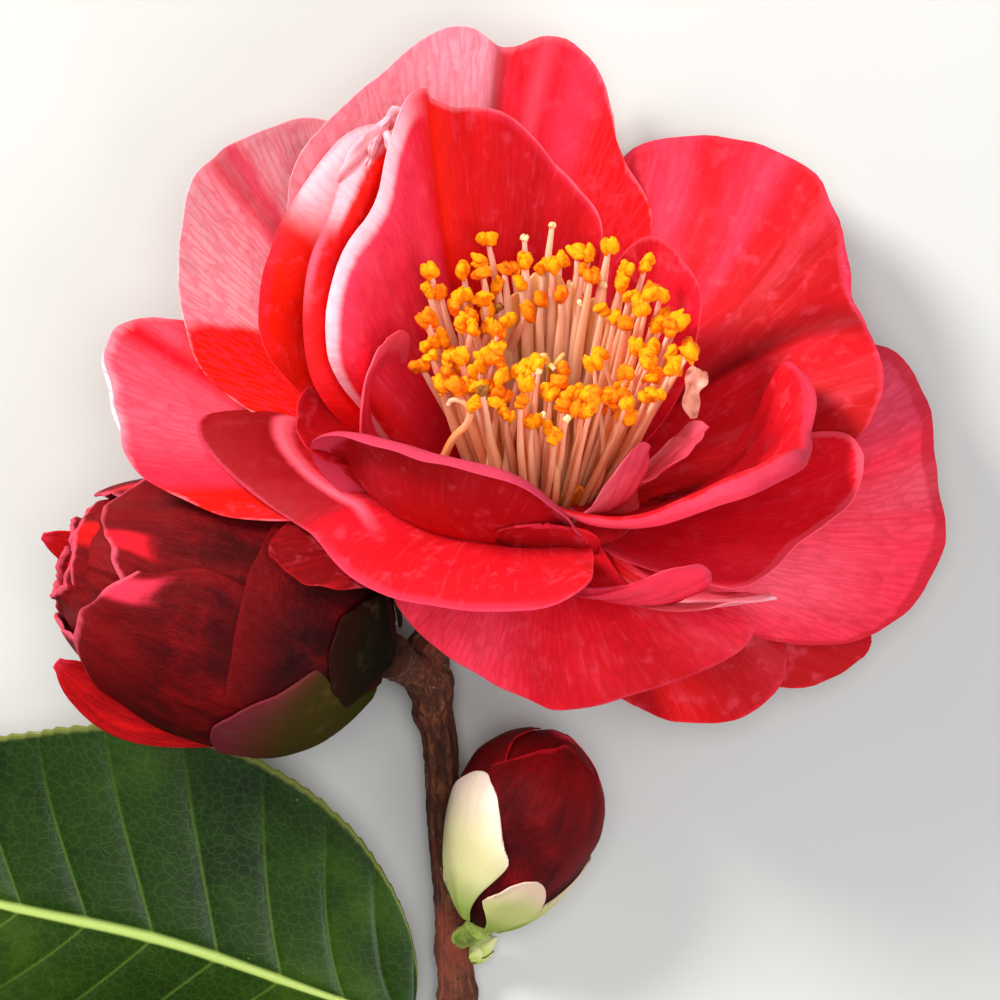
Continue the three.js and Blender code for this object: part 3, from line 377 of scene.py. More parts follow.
PETALS = [
    dict(name='back_petal', mid=[497, 297, 64], tip=[500, 5, 114], w=356, c=0.59, e=1.09, tw=[3, 4], cup=[0.35, 0.3], fold=-0.25, notch=0.07, nph=3.0, har=[[-0.058, -0.052], [-0.074, 0.004], [0.02, 0.041], [0.005, 0.014], [-0.03, -0.022], [-0.013, -0.029]]),
    dict(name='back_right_petal', mid=[713, 353, 62], tip=[838, 221, 98], w=379, c=0.62, e=1.09, tw=[-4, 4], cup=[0.3, 0.2], har=[[0.062, -0.036], [-0.049, -0.112], [-0.07, -0.04], [0.039, -0.008], [0.013, -0.032], [0.004, -0.004]]),
    dict(name='upper_left_petal', mid=[346, 344, 42], tip=[198, 177, 107], w=294, c=0.69, e=1.05, tw=[9, -3], cup=[0.3, 0.2], har=[[0.055, -0.004], [-0.029, 0.097], [-0.05, 0.029], [0.035, -0.039], [0.01, -0.016], [0.014, 0.018]]),
    dict(name='far_left_petal', mid=[311, 456, 117], tip=[112, 397, 203], w=235, c=0.65, e=0.83, tw=[15, -2], cup=[0.4, 0.2], har=[[0.044, -0.04], [-0.005, 0.071], [-0.059, 0.034], [0.013, -0.015], [-0.009, -0.003], [-0.027, 0.016]]),
    dict(name='right_petal', mid=[766, 509, 129], tip=[952, 478, 50], w=272, c=0.59, e=0.92, tw=[-15, 0], cup=[-0.2, -0.35], face=[0.1, -0.1, 1.0], har=[[0.076, -0.023], [-0.042, -0.067], [-0.13, -0.04], [-0.003, 0.024], [-0.003, 0.011], [0.003, 0.001]]),
    dict(name='lower_right_petal', mid=[699, 583, 99], tip=[860, 662, 53], w=123, c=0.66, e=1.09, tw=[-3, 0], cup=[0.0, -0.2], face=[0.1, -0.1, 1.0], har=[[0.033, -0.011], [0.03, -0.043], [-0.062, -0.049], [-0.008, -0.021], [0.0, -0.003], [-0.009, 0.007]]),
    dict(name='bottom_petal', mid=[648, 602, 109], tip=[727, 721, 68], w=176, c=0.66, e=1.01, tw=[2, 5], cup=[0.0, -0.2], face=[0.0, -0.3, 1.0], har=[[0.023, -0.035], [0.031, -0.097], [-0.044, -0.041], [-0.011, 0.022], [0.003, 0.012], [0.005, -0.006]]),
    dict(name='front_petal', mid=[545, 613, 237], tip=[549, 709, 236], w=310, c=0.54, e=1.18, tw=[-10, 0], cup=[0.2, -0.2], face=[0.0, -0.5, 1.0], har=[[0.035, -0.145], [-0.057, -0.113], [-0.063, 0.004], [0.052, 0.047], [0.005, 0.002], [0.013, -0.018]]),
    dict(name='lower_left_petal', mid=[387, 542, 223], tip=[276, 568, 284], w=136, c=0.65, e=1.03, tw=[4, -2], cup=[0.2, 0.2], har=[[0.013, -0.004], [-0.002, 0.009], [-0.046, 0.024], [-0.007, 0.012], [0.005, 0.002], [0.004, -0.002]]),
    dict(name='left_mid_petal', mid=[396, 337, 102], tip=[290, 195, 202], w=290, c=0.68, e=0.97, tw=[5, -4], cup=[0.5, 0.6], rs=0.8, roll=[0, 0, 60, 80, 90, 40], har=[[0.035, -0.02], [-0.041, 0.118], [-0.083, 0.055], [-0.008, -0.006], [-0.011, -0.01], [0.007, -0.017]]),
    dict(name='left_inner_petal', mid=[384, 328, 154], tip=[387, 131, 229], w=236, c=0.56, e=1.23, tw=[-6, -7], cup=[0.5, 0.6], rs=0.84, roll=[90, 110, 110, 90, 0], har=[[0.045, 0.009], [0.01, 0.099], [-0.031, 0.109], [0.031, 0.036], [-0.009, 0.004], [-0.028, 0.015]]),
    dict(name='back_inner_petal', mid=[467, 322, 154], tip=[429, 68, 248], w=315, c=0.55, e=1.16, tw=[-5, 12], cup=[0.4, 0.5], rs=0.82, roll=[130, 120, 60, 0, 0, 0, 0], har=[[-0.107, -0.056], [-0.135, 0.02], [0.023, 0.051], [0.066, -0.024], [0.01, -0.024], [-0.016, -0.05]]),
    dict(name='right_back_inner_petal', mid=[636, 365, 115], tip=[671, 244, 170], w=140, c=0.61, e=1.03, tw=[-2, -2], cup=[0.5, 0.4], har=[[0.0, 0.003], [0.019, -0.024], [-0.011, -0.026], [-0.008, -0.007], [-0.003, -0.009], [0.001, -0.009]]),
    dict(name='front_left_petal', mid=[409, 516, 231], tip=[317, 554, 302], w=448, c=0.6, e=1.01, tw=[16, 8], cup=[0.5, 0.4], rs=0.68, roll=[0, 0, 0, 20, 45, 60, 50], har=[[0.006, -0.072], [-0.084, 0.012], [-0.113, 0.046], [0.006, -0.025], [0.017, -0.048], [0.023, -0.035]]),
    dict(name='right_scoop_petal', mid=[706, 497, 230], tip=[820, 390, 320], w=294, c=0.64, e=0.82, tw=[-33, 11], cup=[0.8, 0.7], rs=0.8, roll=[30, 50, 100, 120, 150, 150, 150], har=[[0.077, -0.006], [-0.043, -0.04], [-0.12, 0.055], [-0.024, -0.009], [-0.032, 0.013], [0.017, 0.036]]),
    dict(name='right_under_petal', mid=[786, 511, 208], tip=[847, 495, 249], w=215, c=0.65, e=1.04, tw=[-1, 8], cup=[0.4, 0.3], har=[[0.048, 0.002], [0.008, -0.063], [0.002, -0.081], [0.042, -0.029], [-0.0, 0.013], [-0.025, 0.016]]),
    dict(name='front_lip_petal', mid=[445, 543, 300], tip=[454, 438, 387], w=269, c=0.62, e=1.04, tw=[12, 11], cup=[0.6, 0.6], rs=0.84, roll=[60, 100, 130, 130, 130, 100, 60], har=[[0.074, -0.013], [-0.062, 0.044], [-0.084, -0.069], [0.006, -0.011], [-0.011, 0.005], [-0.009, 0.001]]),
    dict(name='front_right_tip_petal', mid=[678, 602, 264], tip=[777, 594, 294], w=69, c=0.79, e=1.31, tw=[-3, 1], cup=[0.3, 0.1], har=[[-0.009, -0.011], [0.03, 0.008], [-0.043, -0.003], [0.0, 0.004], [0.012, 0.003], [-0.009, -0.005]]),
    dict(name='front_right_petal', mid=[658, 597, 314], tip=[716, 570, 315], w=88, c=0.78, e=1.13, tw=[-4, -21], cup=[0.3, 0.1], har=[[0.005, -0.014], [-0.034, 0.03], [-0.082, -0.013], [-0.014, -0.004], [0.008, 0.006], [0.006, -0.002]]),
    dict(name='left_petaloid', mid=[367, 413, 243], tip=[391, 328, 290], w=120, c=0.63, e=0.98, tw=[-6, -29], cup=[0.5, 0.5], har=[[0.009, 0.071], [-0.033, 0.053], [-0.043, -0.006], [-0.007, -0.006], [-0.009, -0.001], [-0.006, -0.002]]),
    dict(name='left_small_petal', mid=[378, 443, 189], tip=[294, 428, 269], w=106, c=0.64, e=0.97, tw=[0, -5], cup=[0.5, 0.5], har=[[0.013, -0.015], [-0.01, -0.01], [-0.036, -0.017], [-0.013, -0.021], [-0.001, -0.011], [0.0, -0.002]]),
    dict(name='right_petaloid_1', mid=[617, 498, 280], tip=[642, 443, 320], w=62, c=0.64, e=1.0, tw=[4, -6], cup=[0.3, 0.3], br=40.0, bh=40.0, har=[[0.024, 0.004], [-0.024, -0.009], [-0.041, -0.051], [0.008, -0.028], [0.014, 0.005], [-0.001, 0.011]]),
    dict(name='right_petaloid_2', mid=[676, 455, 270], tip=[708, 425, 310], w=59, c=0.69, e=1.1, tw=[-3, 16], cup=[0.3, 0.3], br=40.0, bh=20.0, har=[[0.012, -0.027], [-0.028, -0.016], [-0.057, 0.024], [0.004, 0.025], [0.015, 0.001], [0.001, -0.007]]),
]


# ---- petals: a bent middle line, an outline fanned from the base, cupped across, rim rolled
def petal(p, nu, nv):
    tip, mid = seen(*p["tip"]), seen(*p["mid"])
    d = tip - HEART
    d = unit(d - AXIS * np.dot(d, AXIS))
    base = HEART + d * p.get("br", 45.0) + AXIS * p.get("bh", 0.0)
    n = 60
    c1, c2 = np.linalg.norm(mid - base), np.linalg.norm(tip - mid)
    tm = c1 / (c1 + c2)
    t = np.linspace(0, 1, n + 1)
    l0, l1, l2 = (t - tm) * (t - 1) / tm, t * (t - 1) / (tm * (tm - 1)), t * (t - tm) / (1 - tm)
    C = l0[:, None] * base + l1[:, None] * mid + l2[:, None] * tip
    hint = HEART + AXIS * 260 - C
    if "face" in p:
        k = ease(0, 0.6, t)[:, None]
        hint = unit(hint) * (1 - k) + unit(np.array(p["face"], float))[None, :] * k
    T = unit(np.gradient(C, axis=0))
    N = unit(hint - T * np.sum(T * hint, -1, keepdims=True))
    N = turn(N, T, np.radians(np.interp(t, [0, 1], p["tw"])))
    s = np.concatenate([[0], np.cumsum(np.linalg.norm(np.diff(C, axis=0), axis=1))])
    L, B, Wd = s[-1], np.cross(T, N), p["w"]
    Wh = Wd / 2
    u, v = np.linspace(0, 1, nu + 1)[:, None], np.linspace(-1, 1, nv + 1)[None, :]
    ph = v * FAN
    co, si, c, e = np.cos(ph), np.sin(ph), p["c"], p["e"]
    rad = 1 - p.get("notch", 0.0) * np.exp(-((ph - math.radians(p.get("nph", 0))) / 0.22) ** 2)
    for k, (a, b) in enumerate(p["har"]):
        rad = rad + a * np.cos((k + 1) * ph) + b * np.sin((k + 1) * ph)
    nick = waves(p["seed"] + 3)
    rad = rad * (1 + 0.005 * nick(v * 17, 0 * v) + 0.004 * nick(v * 41 + 7, 0 * v + 3))
    ax = np.where(co > 0, (1 - c) * L, c * L)
    rp = c * L + ax * np.sign(co) * np.abs(co) ** e * np.where(co > 0, rad, 1)
    rq = Wh * np.sign(si) * np.abs(si) ** e * rad
    bq = 0.16 * Wd * v
    P = 2 * u * (1 - u) * rp * 0.5 + u * u * rp
    Q = (1 - u) ** 2 * bq + 2 * u * (1 - u) * (bq + (rq - bq) * 0.35) + u * u * rq
    cu = np.interp(P / L, [0, 1], p["cup"])
    x, h = np.zeros_like(P), np.zeros_like(P)
    for i in range(24):
        qa = np.abs(Q) * (i + 0.5) / 24 / Wh
        ang = cu * qa + p.get("fold", 0.0) * (1 - np.exp(-qa * 8))
        x += np.cos(ang) * np.abs(Q) / 24
        h += np.sin(ang) * np.abs(Q) / 24
    x *= np.sign(Q)

    def at(X):
        return np.stack([np.interp(P, s, X[:, i]) for i in range(3)], -1)
    Nn, Bb, Tt = unit(at(N)), unit(at(B)), unit(at(T))
    G = at(C) + Bb * x[..., None] + Nn * h[..., None] + Tt * np.maximum(P - L, 0)[..., None]

    def outward(G):
        m = grid_normals(G)
        sg = np.sign(np.sum(m * Nn, -1).mean())
        return m * (sg if sg else 1)
    if p.get("roll"):
        r, start = p["roll"], p.get("rs", 0.75)
        n0 = outward(G)
        rv = np.radians(np.interp(v[0], np.linspace(-1, 1, len(r)), r))
        k = np.clip((u - start) / (1 - start), 0, 1) ** 1.2
        seg, m = np.diff(G, axis=0), (n0[1:] + n0[:-1]) / 2
        seg = seg * (1 - (1 - p.get("tight", 1.0)) * ease(start - 0.04, start + 0.04, u[1:]) * np.minimum(1, np.abs(rv) / 1.2)[None, :])[..., None]
        axis = unit(np.cross(seg, m) + 1e-12)
        for _ in range(6):            # even out the hinge line from column to column
            axis = unit(axis + 0.5 * (np.roll(axis, 1, 1) + np.roll(axis, -1, 1)))
        G = np.concatenate([G[:1], G[:1] + np.cumsum(turn(seg, axis, -(k[1:] + k[:-1]) / 2 * rv[None, :]), 0)], 0)
    n0 = outward(G)
    # the rim's waves and the faint buckling of the sheet
    w1, w2, w3 = waves(p["seed"]), waves(p["seed"] + 1), waves(p["seed"] + 2)
    near = np.clip((u - 0.4) / 0.6, 0, 1) ** 1.7
    lift = p.get("ruf", 3.0) * near * w1(u * 3, v * 7) + p.get("crisp", 1.6) * near ** 2 * w2(u * 5, v * 19) + 0.9 * ease(0.1, 0.5, u) * w3(u * 5, v * 8)
    for (v0, v1, deep, wide, start) in p.get("crease", []):
        lift = lift - deep * np.exp(-((v - (v0 + (v1 - v0) * u)) / (wide * (1.3 - u * 0.6))) ** 2) * ease(start, start + 0.25, u)
    G = G + n0 * lift[..., None]
    U, W = u + 0 * v, (v + 1) / 2 + 0 * u
    # a margin that curls over tightly, between two places round the rim
    if p.get("curl"):
        much, bend, there = 0 * v[0], 0 * v[0], 0 * v[0]
        for (v0, v1, wide, ang) in p["curl"]:
            on = ease(v0, v0 + 0.09, v[0]) * (1 - ease(v1 - 0.09, v1, v[0]))
            much, bend, there = np.maximum(much, wide * on), np.where(on > 0, ang, bend), np.maximum(there, on)
        much = np.maximum(much * (1 + 0.28 * w2(3.0, v[0] * 17) + 0.15 * w3(1.0, v[0] * 40)), 1.2)
        bend = np.radians(bend * (1 + 0.16 * w1(2.0, v[0] * 15)))
        d = unit(G[-1] - G[-3])
        hinge = unit(np.cross(d, n0[-1]))
        for _ in range(8):
            hinge = unit(hinge + 0.5 * (np.roll(hinge, 1, 0) + np.roll(hinge, -1, 0)))
        rows, last, m = [], G[-1], 9
        for i in range(m):
            k = (i + 0.7) / m
            last = last + turn(d, hinge, -bend * k) * (much / m)[:, None]
            rows.append(last)
        G = np.concatenate([G, np.array(rows)], 0)
        uu = 1 + (np.arange(m) + 1)[:, None] / m * 0.3 * there[None, :]
        U, W = np.concatenate([U, uu], 0), np.concatenate([W, np.repeat(W[-1:], m, 0)], 0)
    return G, U, W


# ---- colours of the petals: red in the shade and towards the base, pink where they face the light
FLAME = lin((240, 26, 6))
RED = lin((228, 20, 22))
HOT = lin((238, 26, 46))
DEEP = lin((176, 14, 20))
DARK = lin((120, 8, 12))
BLOOD = lin((76, 3, 6))
ROSE = lin((244, 52, 80))
PINK = lin((249, 96, 120))
PALE = lin((251, 158, 174))
BLUSH = lin((253, 204, 212))
MAUVE = lin((206, 62, 90))
PLUM = lin((158, 24, 46))
CRIMSON = lin((212, 18, 32))
SHELL = lin((252, 180, 192))


def petal_material(name, tip, base=None, at=(0.35, 0.75), rim=PALE, rim_from=0.985, rim_much=0.3, ragged=0.02, curl=BLUSH, foot=DEEP, foot_to=0.26, streak=0.4, dark=0.35, vein=0.35, net=HOT, through=0.2, glow=(255, 10, 12), rough=0.60, crease_light_and_shade=(), bands=(), painted_shade_side=(), seed=0.0):
    """tip, base: colour stops from one edge to the other, out at the rim and in at the base;
    lines: (v at the base, v at the rim, width, colour, weight, from u), painted shade and painted highlight along
    creases and folds;
    bands: (v from, v to, u from, u to, colour, weight) along the margin, the pale ones painted highlight on rolled
    margins, the dark ones painted shade;
    halves: (v at the base, v at the rim, side, colour, weight, softness), painted shade over all on one side of a line."""
    n = Nodes(name)
    u, v = n.uv()
    wide = n.noise(n.vec(n.math("MULTIPLY_ADD", u, 1.1, plus=seed * 3.7), n.math("MULTIPLY", v, 13.0)), 1.0, 2.0, 0.5, 0.3, flat=True)
    fine = n.noise(n.vec(n.math("MULTIPLY_ADD", u, 5.0, plus=seed * 3.7 + 11), n.math("MULTIPLY", v, 90.0)), 1.0, 3.0, 0.62, 0.5, flat=True)
    blot = n.noise(n.where(), 90.0, 3.0, 0.6)
    grain_and_glint = n.noise(n.where(), 420.0, 2.0, 0.6)
    # a net of veins, its cells drawn out towards the rim
    net_at = n.new("TexVoronoi", feature="DISTANCE_TO_EDGE", voronoi_dimensions="2D")
    bend = n.math("MULTIPLY", n.math("SUBTRACT", grain_and_glint, 0.5), 0.9)
    n.link(n.vec(n.math("ADD", n.math("MULTIPLY", u, 8.0), bend), n.math("ADD", n.math("MULTIPLY", v, 84.0), bend), seed), net_at.inputs["Vector"])
    net_at.inputs["Scale"].default_value = 1.0
    veins = n.span(net_at.outputs["Distance"], 0.30, 0.0)
    col = n.ramp(v, tip)
    if base:
        where = n.math("ADD", u, n.math("MULTIPLY", n.math("SUBTRACT", wide, 0.5), 0.30))
        col = n.mix(n.span(where, at[0], at[1]), n.ramp(v, base), col)
    col = n.mix(n.math("MULTIPLY", n.span(wide, 0.54, 0.76), 0.30 * streak), col, PINK)
    col = n.mix(n.math("MULTIPLY", n.span(wide, 0.48, 0.28), 0.65 * dark), col, DEEP)
    col = n.mix(n.math("MULTIPLY", n.span(fine, 0.56, 0.76), 0.26 * streak), col, PINK)
    col = n.mix(n.math("MULTIPLY", n.span(fine, 0.46, 0.28), 0.40 * dark), col, DEEP)
    col = n.mix(n.math("MULTIPLY", n.span(blot, 0.50, 0.74), 0.14), col, ROSE)
    # pale flecks from the fine noise are painted glints off the petal's cells; the darker flecks are random tone
    col = n.mix(n.math("MULTIPLY", n.span(grain_and_glint, 0.54, 0.74), 0.22), col, PINK)
    col = n.mix(n.math("MULTIPLY", n.span(grain_and_glint, 0.46, 0.28), 0.18), col, DEEP)
    # painted shade: a shade colour over everything on one side of a line across the petal
    for (v0, v1, side, colour, much, soft) in painted_shade_side:
        line = n.math("ADD", n.math("MULTIPLY", u, (v1 - v0) / 2), (v0 + 1) / 2)
        d = n.math("ADD", n.math("SUBTRACT", v, line), n.math("MULTIPLY", n.math("SUBTRACT", blot, 0.5), 0.05))
        col = n.mix(n.math("MULTIPLY", n.span(d, -soft * side, soft * side), much), col, colour)
    # painted shade in the creases and painted highlight beside them, each along a line across the petal
    for (v0, v1, w, colour, much, start) in crease_light_and_shade:
        line = n.math("ADD", n.math("MULTIPLY", u, (v1 - v0) / 2), (v0 + 1) / 2)
        d = n.math("ABSOLUTE", n.math("SUBTRACT", v, line))
        k = n.math("MULTIPLY", n.span(d, w / 2, 0.0), n.span(u, start, start + 0.25))
        col = n.mix(n.math("MULTIPLY", k, much), col, colour)
    col = n.mix(n.math("MULTIPLY", veins, n.math("MULTIPLY", n.span(u, 0.1, 0.5), vein * 0.30)), col, net)
    col = n.mix(n.span(u, foot_to, 0.03, 0.0, 0.8), col, foot)
    uneven = n.math("ADD", n.math("MULTIPLY", n.math("SUBTRACT", fine, 0.5), ragged * 1.6), n.math("MULTIPLY", n.math("SUBTRACT", blot, 0.5), ragged * 5))
    edge = n.math("ADD", u, uneven)
    # margin bands: pale ones are painted highlight where a rolled margin faces the light, dark ones painted shade
    for (v0, v1, u0, u1, colour, much) in bands:
        a, b, h = (v0 + 1) / 2, (v1 + 1) / 2, min(0.05, (v1 - v0) / 5)
        k = n.math("MULTIPLY", n.span(v, a - h / 2, a + h), n.span(v, b + h / 2, b - h))
        k = n.math("MULTIPLY", k, n.span(edge, u0 - 0.015, u0 + 0.02))
        if u1 < 1:
            k = n.math("MULTIPLY", k, n.span(edge, u1 + 0.02, u1 - 0.015))
        col = n.mix(n.math("MULTIPLY", k, much), col, n.mix(n.math("MULTIPLY", veins, 0.16), colour, PINK if colour in (PALE, BLUSH, SHELL) else colour))
    col = n.mix(n.math("MULTIPLY", n.span(edge, rim_from, rim_from + max(0.015, ragged)), rim_much), col, rim)
    # the margin curled over beyond the rim takes the lighter curl colour: a painted highlight where the rolled margin
    # catches the light
    col = n.mix(n.span(u, 1.004, 1.05), col, n.mix(n.math("MULTIPLY", n.span(fine, 0.5, 0.68), 0.5), curl, PINK))
    nor = n.bump(fine, 0.28, 0.0003)
    nor = n.bump(grain_and_glint, 0.36, 0.0004, nor)
    rg = n.span(wide, 0.3, 0.7, rough + 0.08, rough - 0.07)
    lit = n.mix(0.5, col, lin(glow))
    return n.surface(col, rg, nor, glow=lit, through=through, spec=0.09)


